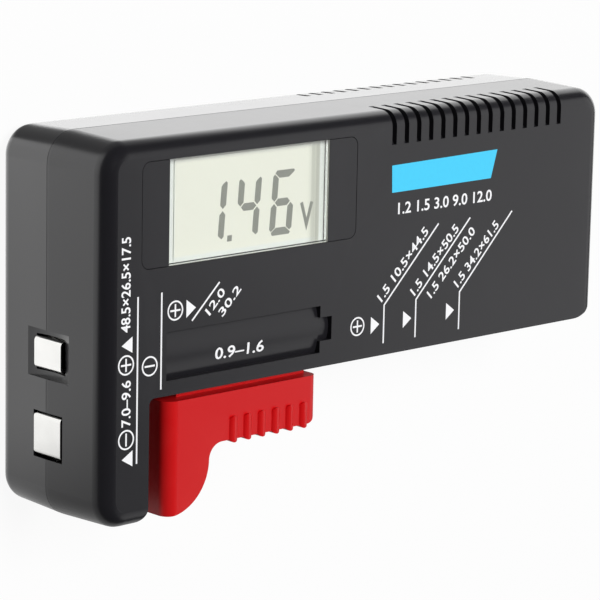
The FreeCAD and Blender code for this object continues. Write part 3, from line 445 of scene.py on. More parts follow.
HOUSING_PLASTIC = MouldedPlastic(
    "housing_plastic", (0.0135, 0.013, 0.0155), (0.05, 0.05, 0.056), 0.36, coat=1.0, coat_roughness=0.22,
    bend=1.38,
)
REAR_PLASTIC = replace(
    HOUSING_PLASTIC, name="rear_housing_plastic", roughness=0.33, coat_roughness=0.17, specular=0.6, bend=1.4
)
BEZEL_PLASTIC = replace(HOUSING_PLASTIC, name="bezel_plastic", roughness=0.38, coat_roughness=0.25)
SLIDER_PLASTIC = MouldedPlastic(
    "slider_plastic", (0.57, 0.004, 0.006), (0.72, 0.05, 0.045), 0.42, 2400.0, 0.2, 0.25, coat=0.5,
    specular=0.3,
)
NICKEL = PlatedMetal("nickel", (0.95, 0.945, 0.92), 0.2)
ZINC = PlatedMetal("zinc", (0.55, 0.55, 0.54), 0.35)
SPRING_STEEL = PlatedMetal("spring_steel", (0.6, 0.59, 0.56), 0.28)
CAN_ALUMINIUM = PlatedMetal("can_aluminium", (0.75, 0.75, 0.76), 0.3)
REFLECTOR_FOIL = PlatedMetal("reflector_foil", (0.7, 0.72, 0.66), 0.45)
WHITE_INK = Ink("white_ink", srgb(248, 248, 250))
BLUE_INK = Ink("blue_ink", srgb(72, 208, 250), 0.42)
SEGMENT_INK = Ink("segment_ink", srgb(127, 130, 121), 0.45)
# Pale paint for the window's right and lower walls: a painted reflection of the display.
WALL_REFLECTION_PAINT = Ink("liner_foil", srgb(206, 208, 200), 0.4)
# Its band and shade colours are painted shade, at the right and at the top of the film.
LCD_FIELD = DisplayFilm(
    "lcd_field", srgb(225, 227, 213), srgb(218, 223, 217), srgb(172, 175, 163), srgb(158, 160, 158),
    left=-0.0403, right=-0.0109, bottom=0.0108, top=0.0262,
)
COVER = ClearCover("cover_clear", (0.985, 0.99, 0.985))
BOARD_GREEN = MouldedPlastic("board_green", (0.02, 0.13, 0.05), (0.1, 0.3, 0.14), 0.35, 1200.0, 0.4)
EPOXY_BLACK = MouldedPlastic("epoxy_black", (0.012, 0.012, 0.012), (0.05, 0.05, 0.05), 0.22, 500.0, 0.3)
FERRITE = MouldedPlastic("ferrite", (0.03, 0.03, 0.032), (0.08, 0.08, 0.08), 0.6, 4000.0, 0.6)
IVORY = MouldedPlastic("ivory_plastic", (0.7, 0.66, 0.52), (0.8, 0.78, 0.7), 0.45)
HOLDER_WHITE = MouldedPlastic("holder_white", (0.6, 0.6, 0.57), (0.75, 0.75, 0.73), 0.5)
CERAMIC = MouldedPlastic("ceramic", (0.35, 0.22, 0.11), (0.5, 0.36, 0.2), 0.4)
ZEBRA_RUBBER = MouldedPlastic("zebra_rubber", (0.3, 0.3, 0.33), (0.4, 0.4, 0.42), 0.6)
RED_SLEEVE = MouldedPlastic("red_sleeve", (0.5, 0.01, 0.01), (0.6, 0.1, 0.08), 0.35, 900.0, 0.1)
BLACK_SLEEVE = MouldedPlastic("black_sleeve", (0.015, 0.015, 0.015), (0.06, 0.06, 0.06), 0.35, 900.0, 0.1)

CAD_FINISHES: dict[str, Finish] = {
    node: finish
    for finish, nodes in (
        (HOUSING_PLASTIC, "front_shell"),
        (REAR_PLASTIC, "rear_shell"),
        (BEZEL_PLASTIC, "display_bezel"),
        (COVER, "display_window"),
        (LCD_FIELD, "lcd_polarizer lcd_glass"),
        (REFLECTOR_FOIL, "lcd_reflector"),
        (ZEBRA_RUBBER, "zebra_connector"),
        (HOLDER_WHITE, "lcd_holder"),
        (BOARD_GREEN, "circuit_board"),
        (EPOXY_BLACK, "controller_chip"),
        (FERRITE, "boost_inductor"),
        (CAN_ALUMINIUM, "electrolytic_capacitor"),
        (IVORY, "trimmer"),
        (CERAMIC, "chip_components"),
        (NICKEL, "nine_volt_positive_contact nine_volt_negative_contact cell_negative_contact"),
        (NICKEL, "spring_anchor slider_contact"),
        (RED_SLEEVE, "nine_volt_positive_lead cell_positive_lead"),
        (BLACK_SLEEVE, "nine_volt_negative_lead cell_negative_lead"),
        (ZINC, "case_screws board_screws contact_screw"),
        (SLIDER_PLASTIC, "slider_arm"),
        (SPRING_STEEL, "return_spring"),
    )
    for node in nodes.split()
}

LEAD_ROUTES: dict[str, tuple[MouldedPlastic, list[Corner]]] = {
    "nine_volt_positive_lead": (RED_SLEEVE, [
        (-52.5, 1.8, 14.733), (-45.35, 1.8, 14.733), (-45.35, 3.6, 14.733), (-45.35, 3.6, 18.35)]),
    "nine_volt_negative_lead": (BLACK_SLEEVE, [
        (-52.5, -12.675, 10.467), (-50.85, -12.675, 10.467), (-50.85, 9.7, 10.467), (-41.2, 9.7, 10.467),
        (-41.2, 9.7, 18.35)]),
    "cell_negative_lead": (BLACK_SLEEVE, [
        (-49.0, -11.5, 12.6), (-49.0, 12.1, 12.6), (-41.2, 12.1, 12.6), (-41.2, 12.1, 18.35)]),
    "cell_positive_lead": (RED_SLEEVE, [(-44.0, -3.4, 14.6), (-44.0, 7.9, 14.6), (-44.0, 7.9, 18.35)]),
}


# ---- Meshes ----


def link_object(name: str, data: Any) -> Thing:
    """Link data as an object at the origin."""
    thing = bpy.data.objects.new(name, data)
    bpy.context.scene.collection.objects.link(thing)
    return thing


def add_piece(mesh: Mesh, finish: Finish | None = None, body: Body = Body.HOUSING) -> Thing:
    """Link a mesh as a piece that rides on a body; without a finish it keeps its own."""
    if finish:
        mesh.materials.clear()
        mesh.materials.append(material_of(finish))
    piece = link_object(mesh.name, mesh)
    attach(piece, body.value)
    log.info("made %s", mesh.name)
    return piece


def bake(carrier: Thing) -> Mesh:
    """Return a carrier's finished form as a plain mesh, and remove the carrier."""
    graph = bpy.context.evaluated_depsgraph_get()
    mesh = bpy.data.meshes.new_from_object(carrier.evaluated_get(graph), depsgraph=graph)
    carrier.modifiers.clear()
    bpy.data.objects.remove(carrier)
    return mesh


def to_mesh(name: str, work: Form, outward: bool = True) -> Mesh:
    """Turn a bmesh into a mesh and free it; outward turns its normals outward first."""
    if outward:
        bmesh.ops.recalc_face_normals(work, faces=work.faces)
    mesh = bpy.data.meshes.new(name)
    work.to_mesh(mesh)
    work.free()
    return mesh


def join_rings(work: Form, low: Sequence[Any], high: Sequence[Any]) -> None:
    """Join two rings of vertices by quads."""
    for i in range(len(low)):
        k = (i + 1) % len(low)
        work.faces.new((low[i], low[k], high[k], high[i]))


def fill_between(work: Form, low: Sequence[Any], high: Sequence[Any]) -> None:
    """Close the space between two rings of vertices."""
    work.faces.new(high)
    work.faces.new(low[::-1])
    join_rings(work, low, high)


def plate(name: str, outlines: Sequence[Sequence[Point]], level: float, thick: float) -> Mesh:
    """Make flat closed plates on the face.

    Args:
        name: the mesh's name.
        outlines: each plate's outline in millimetres, counter-clockwise seen from +Z.
        level: height of the plates' underside, in millimetres.
        thick: their thickness, in millimetres.

    Returns:
        The mesh, in metres.
    """
    work = bmesh.new()
    for outline in outlines:
        rings = [[work.verts.new((x * MM, y * MM, height * MM)) for x, y in outline]
                 for height in (level, level + thick)]
        fill_between(work, *rings)
    return to_mesh(name, work)


def stroke(points: Sequence[Point], width: float, mitre: float = 0.3) -> list[Point]:
    """Outline a line of constant width; mitre is the least cosine that a bend's mitre is made for."""
    left, right = [], []
    for i, point in enumerate(points):
        here = Vector(point)
        back = (here - Vector(points[i - 1])).normalized() if i else None
        ahead = (Vector(points[i + 1]) - here).normalized() if i < len(points) - 1 else None
        way = ((back or ahead) + (ahead or back)).normalized()
        reach = width / 2 / max(way.dot(ahead or back), mitre)
        side = Vector((-way.y, way.x)) * reach
        left.append(tuple(here + side))
        right.append(tuple(here - side))
    return right + left[::-1]


def ring_outlines(centre: Point, radius: float, width: float, count: int = 40) -> list[list[Point]]:
    """Return quads that make up a flat ring."""

    def spot(reach: float, step: int) -> Point:
        """Return the place at a reach from the centre, at one step around."""
        turn = 2 * math.pi * step / count
        return (centre[0] + reach * math.cos(turn), centre[1] + reach * math.sin(turn))

    inner = radius - width
    return [[spot(inner, i), spot(radius, i), spot(radius, i + 1), spot(inner, i + 1)] for i in range(count)]


def cross(centre: Point, length: float, width: float) -> list[Point]:
    """Return a plus sign as one outline."""
    arm, half = length / 2, width / 2
    corners = [(-half, -arm), (half, -arm), (half, -half)]
    for _ in range(3):
        corners += [(-y, x) for x, y in corners[-3:]]
    return [(centre[0] + x, centre[1] + y) for x, y in corners]


def rectangle(left: float, bottom: float, right: float, top: float) -> list[Point]:
    """Return a rectangle's outline."""
    return [(left, bottom), (right, bottom), (right, top), (left, top)]


def dash(centre: Point, wide: float, tall: float) -> list[Point]:
    """Return a rectangle's outline about its centre."""
    x, y = centre
    return rectangle(x - wide / 2, y - tall / 2, x + wide / 2, y + tall / 2)


def pointer(centre: Point, length: float, height: float) -> list[Point]:
    """Return a triangle whose tip points along +X, or along -X where the length is negative."""
    x, y = centre
    base, tip = x - length / 2, x + length / 2
    corners = [(base, y - height / 2), (tip, y), (base, y + height / 2)]
    return corners if length > 0 else corners[::-1]


class Surface:
    """A solid's outside seen from above, used to lay prints on it."""

    above = 0.1

    def __init__(self, solid: Thing) -> None:
        """Index the solid's faces."""
        mesh = solid.data
        self.tree = BVHTree.FromPolygons(
            [vertex.co.copy() for vertex in mesh.vertices], [tuple(face.vertices) for face in mesh.polygons]
        )

    def lay(self, mesh: Mesh, level: float) -> None:
        """Lower a flat print made at a level, in metres, so that it follows the outside."""
        for vertex in mesh.vertices:
            spot = self.tree.ray_cast(Vector((*vertex.co.xy, self.above)), Vector((0.0, 0.0, -1.0)))[0]
            vertex.co.z += (spot.z if spot else 0.0) - level


def solids_of(node: Thing) -> list[tuple[Vector, Vector]]:
    """Return the lowest and highest corners of each separate solid of a node, left to right."""
    work = bmesh.new()
    work.from_mesh(node.data)
    bmesh.ops.remove_doubles(work, verts=work.verts, dist=TOUCH)
    left, boxes = set(work.verts), []
    while left:
        group = [left.pop()]
        for vertex in group:
            near = left.intersection(edge.other_vert(vertex) for edge in vertex.link_edges)
            left -= near
            group += near
        boxes.append(tuple(
            Vector([pick(vertex.co[i] for vertex in group) for i in range(3)]) for pick in (min, max)))
    work.free()
    return sorted(boxes, key=lambda box: (round(box[0].x, 4), round(box[0].y, 4)))


def bend(points: Sequence[Vector], radius: float, steps: int = 6) -> list[Vector]:
    """Round the corners of a run of points.

    Args:
        points: the corners, in metres.
        radius: how far from a corner its bend starts, at most half the way to the next one.
        steps: pieces in each bend.

    Returns:
        The points of the rounded run.
    """
    rounded = [points[0]]
    for before, corner, after in zip(points, points[1:], points[2:]):
        start, end = (
            corner + (other - corner).normalized() * min(radius, (other - corner).length * 0.49)
            for other in (before, after)
        )
        for i in range(steps + 1):
            t = i / steps
            rounded.append(start * (1 - t) ** 2 + corner * 2 * t * (1 - t) + end * t * t)
    rounded.append(points[-1])
    return rounded


def lathe(name: str, profile: Sequence[Point], sides: int = 24) -> Mesh:
    """Turn a profile of (radius, height) points, in millimetres, about Z into a closed form."""
    work = bmesh.new()
    turns = [2 * math.pi * i / sides for i in range(sides)]
    rings = [
        [work.verts.new((radius * MM * math.cos(turn), radius * MM * math.sin(turn), height * MM))
         for turn in turns]
        for radius, height in profile
    ]
    for low, high in zip(rings, rings[1:]):
        join_rings(work, low, high)
    work.faces.new(rings[0][::-1])
    work.faces.new(rings[-1])
    return to_mesh(name, work)


# ---- Geometry trees ----


class Recipe:
    """A Geometry Nodes tree with named inputs that ends in real, coated geometry."""

    def __init__(self, name: str, inputs: dict[str, str]) -> None:
        """Start the tree; its inputs after the geometry are given with their kinds of socket."""
        self.tree = bpy.data.node_groups.new(name, "GeometryNodeTree")
        face = self.tree.interface
        face.new_socket("Geometry", in_out="OUTPUT", socket_type="NodeSocketGeometry")
        for label, kind in {"Geometry": "Geometry", **inputs, "Finish": "Material"}.items():
            face.new_socket(label, in_out="INPUT", socket_type=f"NodeSocket{kind}")
        self.start = self.add("NodeGroupInput")

    def add(self, kind: str, feeds: dict[Any, Any] | None = None, **settings: Any) -> Any:
        """Add a node to the tree and return its outputs."""
        return add_node(self.tree, kind, feeds, **settings)

    def close(self, geometry: Any) -> Tree:
        """End the tree: make its instances real and give them the finish."""
        real = self.add("GeometryNodeRealizeInstances", {"Geometry": geometry})
        coated = self.add("GeometryNodeSetMaterial", {"Geometry": real[0], "Material": self.start["Finish"]})
        self.add("NodeGroupOutput", {0: coated[0]})
        return self.tree


@cache
def wire_recipe() -> Tree:
    """Build the tree that runs a round wire along a chain of edges."""
    recipe = Recipe("round_wire", {"Wire Radius": "Float", "Sides": "Int"})
    add, start = recipe.add, recipe.start
    path = add("GeometryNodeMeshToCurve", {"Mesh": start["Geometry"]})
    sizes = {"Resolution": start["Sides"], "Radius": start["Wire Radius"]}
    ring = add("GeometryNodeCurvePrimitiveCircle", sizes)
    tube = add("GeometryNodeCurveToMesh", {"Curve": path[0], "Profile Curve": ring[0], "Fill Caps": True})
    return recipe.close(add("GeometryNodeSetShadeSmooth", {"Geometry": tube[0]})[0])


@cache
def screw_recipe() -> Tree:
    """Build the tree that cuts a recess in a screw and puts one at each point, each turned its own way."""
    recipe = Recipe("screw_set", {"Form": "Object", "Recess": "Object", "Facing": "Vector", "Seed": "Int"})
    add, start = recipe.add, recipe.start
    form, recess = (add("GeometryNodeObjectInfo", {"Object": start[label]}) for label in ("Form", "Recess"))
    cut = add(
        "GeometryNodeMeshBoolean", {"Mesh 1": form["Geometry"], "Mesh 2": recess["Geometry"]},
        operation="DIFFERENCE", solver="EXACT",
    )
    spin = add("FunctionNodeRandomValue", {"Seed": start["Seed"]}, data_type="FLOAT")
    turn = add("ShaderNodeMath", {0: spin[1], 1: 1.5}, operation="MULTIPLY")
    about = add("ShaderNodeCombineXYZ", {"Z": turn[0]})
    facing = add("FunctionNodeEulerToRotation", {"Euler": start["Facing"]})
    own = add("FunctionNodeEulerToRotation", {"Euler": about[0]})
    both = add(
        "FunctionNodeRotateRotation", {"Rotation": facing[0], "Rotate By": own[0]}, rotation_space="LOCAL"
    )
    placed = {"Points": start["Geometry"], "Instance": cut[0], "Rotation": both[0]}
    return recipe.close(add("GeometryNodeInstanceOnPoints", placed)[0])


def grow(name: str, seed: Mesh, tree: Tree, finish: Finish, values: dict[str, Any]) -> Mesh:
    """Run a tree on a seed mesh.

    Args:
        name: the new mesh's name.
        seed: the mesh that the tree starts from.
        tree: the tree.
        finish: what the new mesh is made of.
        values: a value for each of the tree's other inputs.

    Returns:
        The plain mesh.
    """
    values = {**values, "Finish": material_of(finish)}
    carrier = link_object(f"{name}_seed", seed)
    modifier = carrier.modifiers.new("form", "NODES")
    modifier.node_group = tree
    for item in tree.interface.items_tree:
        if item.in_out == "INPUT" and item.name in values:
            modifier[item.identifier] = values[item.name]
    mesh = bake(carrier)
    mesh.name = name
    return mesh


def wire(name: str, points: Sequence[Vector], radius: float, sides: int, finish: Finish) -> Mesh:
    """Return a round wire through points, in metres; its radius is in millimetres."""
    path = bpy.data.meshes.new(f"{name}_path")
    path.from_pydata([tuple(point) for point in points], [(i, i + 1) for i in range(len(points) - 1)], [])
    return grow(name, path, wire_recipe(), finish, {"Wire Radius": radius * MM, "Sides": sides})


# ---- Sub-assemblies ----


def dress(nodes: dict[str, Thing]) -> None:
    """Give every carried-over solid its material."""
    for name, solid in nodes.items():
        solid.data.materials.clear()
        solid.data.materials.append(material_of(CAD_FINISHES[name]))
        log.info("dressed %s", name)


@dataclass(frozen=True)
class Number:
    """A plain number: digits, start, direction in degrees, height and length in millimetres."""

    digits: str
    start: Point
    angle: float
    height: float
    length: float
    weight: float = 0.016
    extrude: float = 0.01
    smoothness: int = 3

    def mesh(self, low: float, high: float) -> Mesh:
        """Return the number as a thin solid between two heights in millimetres, with its place in it."""
        curve = bpy.data.curves.new("number", "FONT")
        curve.body = self.digits
        curve.offset = self.weight
        curve.resolution_u = self.smoothness
        curve.extrude = self.extrude
        mesh = bake(link_object("number", curve))
        bpy.data.curves.remove(curve)
        tall, wide = (max(vertex.co[axis] for vertex in mesh.vertices) for axis in (1, 0))
        scale = self.height * MM / tall
        spread = self.length * MM / (wide * scale)
        turn = math.radians(self.angle)
        for vertex in mesh.vertices:
            x, y, up = vertex.co.x * scale * spread, vertex.co.y * scale, vertex.co.z > 0
            vertex.co = (
                self.start[0] * MM + x * math.cos(turn) - y * math.sin(turn),
                self.start[1] * MM + x * math.sin(turn) + y * math.cos(turn),
                (high if up else low) * MM,
            )
        return mesh


NUMBERS = (
    Number("48.5×26.5×17.5", (-49.55, 0.95), 90.0, 1.75, 14.5),
    Number("7.0–9.6", (-49.35, -13.66), 90.0, 1.75, 7.2),
    Number("12.0", (-34.15, 0.95), 45.5, 1.4, 5.2),
    Number("30.2", (-31.2, 0.7), 45.5, 1.4, 5.6),
    Number("1.5 10.5×44.5", (2.75, -1.6), 45.0, 1.6, 15.2),
    Number("1.5 14.5×50.5", (10.25, -1.5), 45.0, 1.6, 14.6),
    Number("1.5 26.2×50.0", (14.1, -2.4), 45.0, 1.6, 14.7),
    Number("1.5 34.2×61.5", (20.35, -1.35), 45.0, 1.6, 13.8),
    Number("1.2 1.5 3.0 9.0 12.0", (5.75, 12.86), 0.0, 1.85, 22.3),
    Number("0.9–1.6", (-32.1, -5.85), 0.0, 1.85, 10.2),
)


class Sign(Enum):
    """What a polarity ring holds."""

    PLUS = "plus"
    MINUS = "minus"
    UPRIGHT_MINUS = "upright minus"


@dataclass
class FacePrinting:
    """White polarity marks, guide lines, plain numbers and the bare blue tag, in millimetres on the face."""

    face: Surface
    level: float
    line_width: float = 0.29
    ring_radius: float = 1.56
    ring_width: float = 0.26
    sign_length: float = 2.0
    pointer_size: Point = (1.9, 2.8)
    end_pointer_size: Point = (-2.1, 2.5)
    film: float = 0.02
    sink: float = 0.01
    longest_edge: float = 0.4
    lines: Sequence[Sequence[Point]] = (
        ((-43.38, -8.8), (-43.38, 6.2)),
        ((-48.04, -19.65), (-48.04, 6.1)),
        ((3.7, -8.05), (3.7, -1.75), (15.7, 10.3)),
        ((10.95, -8.05), (10.95, -1.75), (23.1, 10.5)),
        ((21.1, -8.05), (21.1, -1.75), (33.1, 10.55)),
        ((-37.3, 1.06), (-31.8, 6.4)),
    )
    signs: Sequence[tuple[Point, Sign]] = (
        ((-40.66, 3.08), Sign.PLUS),
        ((-45.62, -4.86), Sign.MINUS),
        ((-2.19, -4.51), Sign.PLUS),
        ((-50.26, -4.07), Sign.PLUS),
        ((-50.13, -15.61), Sign.UPRIGHT_MINUS),
    )
    pointers: Sequence[Point] = ((-37.5, 3.05), (1.75, -4.75), (9.03, -4.72), (18.97, -4.65))
    end_pointers: Sequence[Point] = ((-50.1, -1.05), (-49.9, -18.65))
    tag: Sequence[Point] = ((4.85, 16.46), (27.7, 16.6), (29.05, 21.3), (4.7, 20.9))

    def outlines(self) -> list[list[Point]]:
        """Return the outline of every white mark but the numbers."""
        marks = [stroke(line, self.line_width) for line in self.lines]
        size = (self.sign_length, self.line_width)
        for centre, sign in self.signs:
            marks += ring_outlines(centre, self.ring_radius, self.ring_width)
            if sign is Sign.PLUS:
                marks.append(cross(centre, *size))
            else:
                marks.append(dash(centre, *(size if sign is Sign.MINUS else size[::-1])))
        marks += [pointer(centre, *self.pointer_size) for centre in self.pointers]
        return marks + [pointer(centre, *self.end_pointer_size) for centre in self.end_pointers]

    def print_outlines(self, name: str, outlines: Sequence[Sequence[Point]], ink: Ink) -> None:
        """Print filled outlines."""
        self.finish(plate(name, outlines, self.level - self.sink, self.film + self.sink), ink)

    def print_numbers(self) -> None:
        """Print the plain numbers, divided finely enough to follow the face."""
        work = bmesh.new()
        for number in NUMBERS:
            mesh = number.mesh(self.level - self.sink, self.level + self.film)
            work.from_mesh(mesh)
            bpy.data.meshes.remove(mesh)
        long = [edge for edge in work.edges if edge.calc_length() > self.longest_edge * MM]
        bmesh.ops.subdivide_edges(work, edges=long, cuts=3)
        bmesh.ops.triangulate(work, faces=work.faces)
        self.finish(to_mesh("white_numbers", work, outward=False), WHITE_INK)

    def finish(self, mesh: Mesh, ink: Ink) -> None:
        """Lay a print on the face, ink it and let it ride on the housing."""
        self.face.lay(mesh, self.level * MM)
        add_piece(mesh, ink)

    def build(self) -> None:
        """Print everything."""
        self.print_outlines("white_marks", self.outlines(), WHITE_INK)
        self.print_numbers()
        self.print_outlines("blue_tag", [self.tag], BLUE_INK)


LIT_SEGMENTS = {"1": "bc", "4": "bcfg", "6": "acdefg"}


@dataclass
class Reading:
    """The display's dark segments: three seven-segment digits, a point and the unit."""

    level: float
    digits: str = "146"
    pitch: float = 7.05
    first: float = -35.06
    base: float = 12.02
    width: float = 4.66
    height: float = 10.3
    thick: float = 1.18
    gap: float = 0.17
    slant: float = 0.085
    film: float = 0.03
    point: Sequence[Point] = ((-29.58, 12.27), (-28.63, 12.27), (-28.58, 13.22), (-29.5, 13.22))
    unit: Sequence[Point] = ((-14.1, 16.75), (-12.98, 13.2), (-11.9, 16.7))
    unit_width: float = 0.6

    def digit(self, shape: str, left: float) -> list[list[Point]]:
        """Outline a digit's lit segments from its left edge: long outside, mitred towards each other."""
        right, top = left + self.width, self.base + self.height
        half, step, cut = self.thick / 2, self.thick / 2 + self.gap, self.thick + self.gap
        middle = self.base + self.height / 2 + 0.12
        high, low = top - 0.6, self.base + 0.75
        upper = [
            (0.0, middle + self.gap), (half, middle + step), (half, high - 0.3), (half * 0.5, high),
            (0.25 - half, top - cut + 0.3), (-half, top - cut), (-half, middle + step),
        ]
        lower = [
            (0.0, middle - self.gap), (-half, middle - step), (-half, self.base + cut + 0.1),
            (0.1 - half, self.base + cut - 0.1), (half * 0.3, low), (half, low + 0.35),
            (half, middle - step),
        ]
        flat = [
            (left + 0.4, top - 0.45), (left + 0.7, top), (right - 0.45, top), (right - 0.2, top - 0.3),
            (right - cut, top - self.thick), (left + cut, top - self.thick),
        ]
        shapes = {
            "a": flat[::-1],
            "b": [(right - half + x, y) for x, y in upper],
            "c": [(right - half + x, y) for x, y in lower],
            "d": [(x, top + self.base + 0.1 - y) for x, y in flat],
            "e": [(left + half - x, y) for x, y in lower],
            "f": [(left + half - x, y) for x, y in upper],
            "g": [
                (left + step, middle), (left + cut, middle - half), (right - cut, middle - half),
                (right - step, middle), (right - cut, middle + half), (left + cut, middle + half),
            ],
        }
        return [shapes[name] for name in LIT_SEGMENTS[shape]]

    def build(self) -> None:
        """Build the reading on the display's film, with its digits leaning to the right."""
        shapes = [
            [(x + self.slant * (y - self.base), y) for x, y in outline]
            for place, shape in enumerate(self.digits)
            for outline in self.digit(shape, self.first + self.pitch * place)
        ]
        shapes += [self.point, stroke(self.unit, self.unit_width)]
        add_piece(plate("display_reading", shapes, self.level, self.film), SEGMENT_INK)


@dataclass
class WindowWallReflection:
    """Two pale strips between the clear window and the frame around it: a painted reflection of the pale
    display in the frame's right and lower walls.
    """

    off: float = 0.01
    thick: float = 0.03
    below_rim: float = 0.12

    def build(self) -> None:
        """Put the painted reflection on the right and the lower side of the window's opening."""
        low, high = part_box("display_window")
        left, bottom, right, top = low.x / MM, low.y / MM, high.x / MM, high.y / MM
        deep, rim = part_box("lcd_polarizer")[1].z / MM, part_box("display_bezel")[1].z / MM - self.below_rim
        outlines = [
            rectangle(right + self.off, bottom, right + self.off + self.thick, top),
            rectangle(left, bottom - self.off - self.thick, right, bottom - self.off),
        ]
        add_piece(plate("window_liner", outlines, deep, rim - deep), WALL_REFLECTION_PAINT)


@dataclass
class SeamTongue:
    """The moulded tongue that shows at the bottom of the seam between the two shells."""

    sink: float = 0.03
    depth: float = 0.5
    drop: float = 0.3
    clear: float = 0.01
    rim_reach: Point = (0.1, 0.3)
    draft: float = 0.1

    def build(self, shell: Thing) -> None:
        """Follow the outline of the front shell, whose rounded edge ends on one level above the seam."""
        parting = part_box("front_shell")[0].z
        work, tongue = bmesh.new(), bmesh.new()
        work.from_mesh(shell.data)
        level = self.rim_level(work, parting)
        low, high = parting - self.drop * MM, level - self.clear * MM
        for edge in work.edges:
            walls = [face for face in edge.link_faces if abs(face.normal.z) < self.draft]
            if len(walls) == 1 and all(abs(vertex.co.z - level) < TOUCH for vertex in edge.verts):
                rings = []
                for vertex in edge.verts:
                    outer, inner = (
                        vertex.co - walls[0].normal * deep * MM
                        for deep in (self.sink, self.sink + self.depth)
                    )
                    corners = ((outer, low), (outer, high), (inner, high), (inner, low))
                    rings.append([tongue.verts.new((spot.x, spot.y, up)) for spot, up in corners])
                fill_between(tongue, *rings)
        work.free()
        bmesh.ops.recalc_face_normals(tongue, faces=tongue.faces)
        bmesh.ops.remove_doubles(tongue, verts=tongue.verts, dist=TOUCH / 10)
        add_piece(to_mesh("seam_tongue", tongue, outward=False), HOUSING_PLASTIC)

    def rim_level(self, work: Form, parting: float) -> float:
        """Return the level where the rounded edge meets the outside: the one most vertices share."""
        low, high = (parting + reach * MM for reach in self.rim_reach)
        levels = Counter(round(vertex.co.z * 1e7) for vertex in work.verts if low < vertex.co.z < high)
        return levels.most_common(1)[0][0] * 1e-7


@dataclass
class ReturnSpring:
    """The close-wound return spring, hooked to the housing's anchor and to the slider's strip."""

    wire: float = 0.22
    radius: float = 1.6
    hook: float = 2.4
    strip: float = 0.4
    tip: float = 1.0
    corner: float = 0.6
    turns: int = 52
    steps: int = 14
    sides: int = 6

    def path(self) -> tuple[list[Vector], float, float]:
        """Return the wire's path in metres and the two ends of its turns along X."""
        low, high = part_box("return_spring")
        middle = high.y - (self.radius + self.wire) * MM, (low.z + high.z) / 2
        near = low.x + (2 * self.wire + self.strip + self.hook) * MM
        far = high.x - (2 * self.wire + 2 * self.strip + self.hook) * MM
        lift, drop = Vector((0.0, 0.0, self.radius * MM)), Vector((0.0, -self.tip * MM, 0.0))

        def at(x: float) -> Vector:
            """Return the axis at a place along X."""
            return Vector((x, *middle))

        start, end = near + self.wire * MM, far - self.wire * MM
        first, last = low.x + self.wire * MM, high.x - self.wire * MM
        points = bend([at(first) + drop, at(first), at(start), at(start) + lift], self.corner * MM)
        count = self.turns * self.steps
        for i in range(1, count):
            turn = 2 * math.pi * i / self.steps
            spoke = Vector((0.0, math.sin(turn), math.cos(turn))) * self.radius * MM
            points.append(at(start + (end - start) * i / count) + spoke)
        points += bend([at(end) + lift, at(end), at(last), at(last) + drop], self.corner * MM)
        return points, near, far

    def build(self) -> None:
        """Wind the spring in the place of the plain one."""
        points, near, far = self.path()
        coil = wire("spring_coil", points, self.wire, self.sides, SPRING_STEEL)
        piece = link_object("spring_coil", coil)
        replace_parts(piece, "return_spring")
        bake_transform(piece)
        log.info("made spring_coil")


@dataclass
class ScrewSet:
    """The screws of one node: pan heads with a cross recess, and threaded shanks."""

    node: str
    head_height: float
    thread: float
    shank: float
    axis: int = 2
    facing: int = -1
    body: Body = Body.HOUSING
    seed: int = 3
    tip: float = 0.04

    def form(self, radius: float, length: float) -> Mesh:
        """Turn the screw: head up from Z = 0, shank down."""
        tall, shank, core, thread = self.head_height, self.shank, self.shank * 0.8, self.thread
        profile = [(self.tip, -length), (core * 0.6, -length + 0.25), (core, -length + thread)]
        level = -length + thread
        while level < -1.6 * thread:
            profile += [
                (core, level + thread * 0.3), (shank, level + thread * 0.55),
                (shank, level + thread * 0.65), (core, level + thread * 0.95),
            ]
            level += thread
        profile += [(shank, -0.4 * thread), (shank, 0.0)]
        profile += [(radius * across, tall * up) for across, up in (
            (0.97, 0.0), (1.0, 0.12), (1.0, 0.5), (0.93, 0.78), (0.72, 0.97), (0.5, 1.0))]
        return lathe(f"{self.node}_form", [*profile, (self.tip, tall)])

    def recess(self, radius: float) -> Mesh:
        """Make the tapered cross that the recess is cut with."""
        work = bmesh.new()
        rings = []
        for part, level in ((0.62, 0.38), (1.05, 1.2)):
            corners = cross((0.0, 0.0), 1.1 * radius * part, 0.26 * radius * part)
            up = level * self.head_height * MM
            rings.append([work.verts.new((x * MM, y * MM, up)) for x, y in corners])
        fill_between(work, *rings)
        return to_mesh(f"{self.node}_recess", work)

    def seats(self, boxes: Sequence[tuple[Vector, Vector]]) -> list[Corner]:
        """Return where each screw's head sits, in metres."""
        spots = []
        for low, high in boxes:
            spot, top = (low + high) / 2, low if self.facing < 0 else high
            spot[self.axis] = top[self.axis] - self.facing * self.head_height * MM
            spots.append(tuple(spot))
        return spots

    def build(self, nodes: dict[str, Thing]) -> None:
        """Set a screw in the place of each of the node's solids."""
        boxes = solids_of(nodes[self.node])
        low, high = boxes[0]
        across = (self.axis + 1) % 3
        radius = (high[across] - low[across]) / 2 / MM
        length = (high[self.axis] - low[self.axis]) / MM - self.head_height
        points = bpy.data.meshes.new(f"{self.node}_points")
        points.from_pydata(self.seats(boxes), [], [])
        tools = [link_object(mesh.name, mesh) for mesh in (self.form(radius, length), self.recess(radius))]
        way = Vector([self.facing if i == self.axis else 0.0 for i in range(3)])
        facing = Vector((0.0, 0.0, 1.0)).rotation_difference(way).to_euler()
        mesh = grow(f"{self.node}_set", points, screw_recipe(), ZINC, {
            "Form": tools[0], "Recess": tools[1], "Facing": tuple(facing), "Seed": self.seed,
        })
        for tool in tools:
            bpy.data.objects.remove(tool)
        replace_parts(add_piece(mesh, body=self.body), self.node)


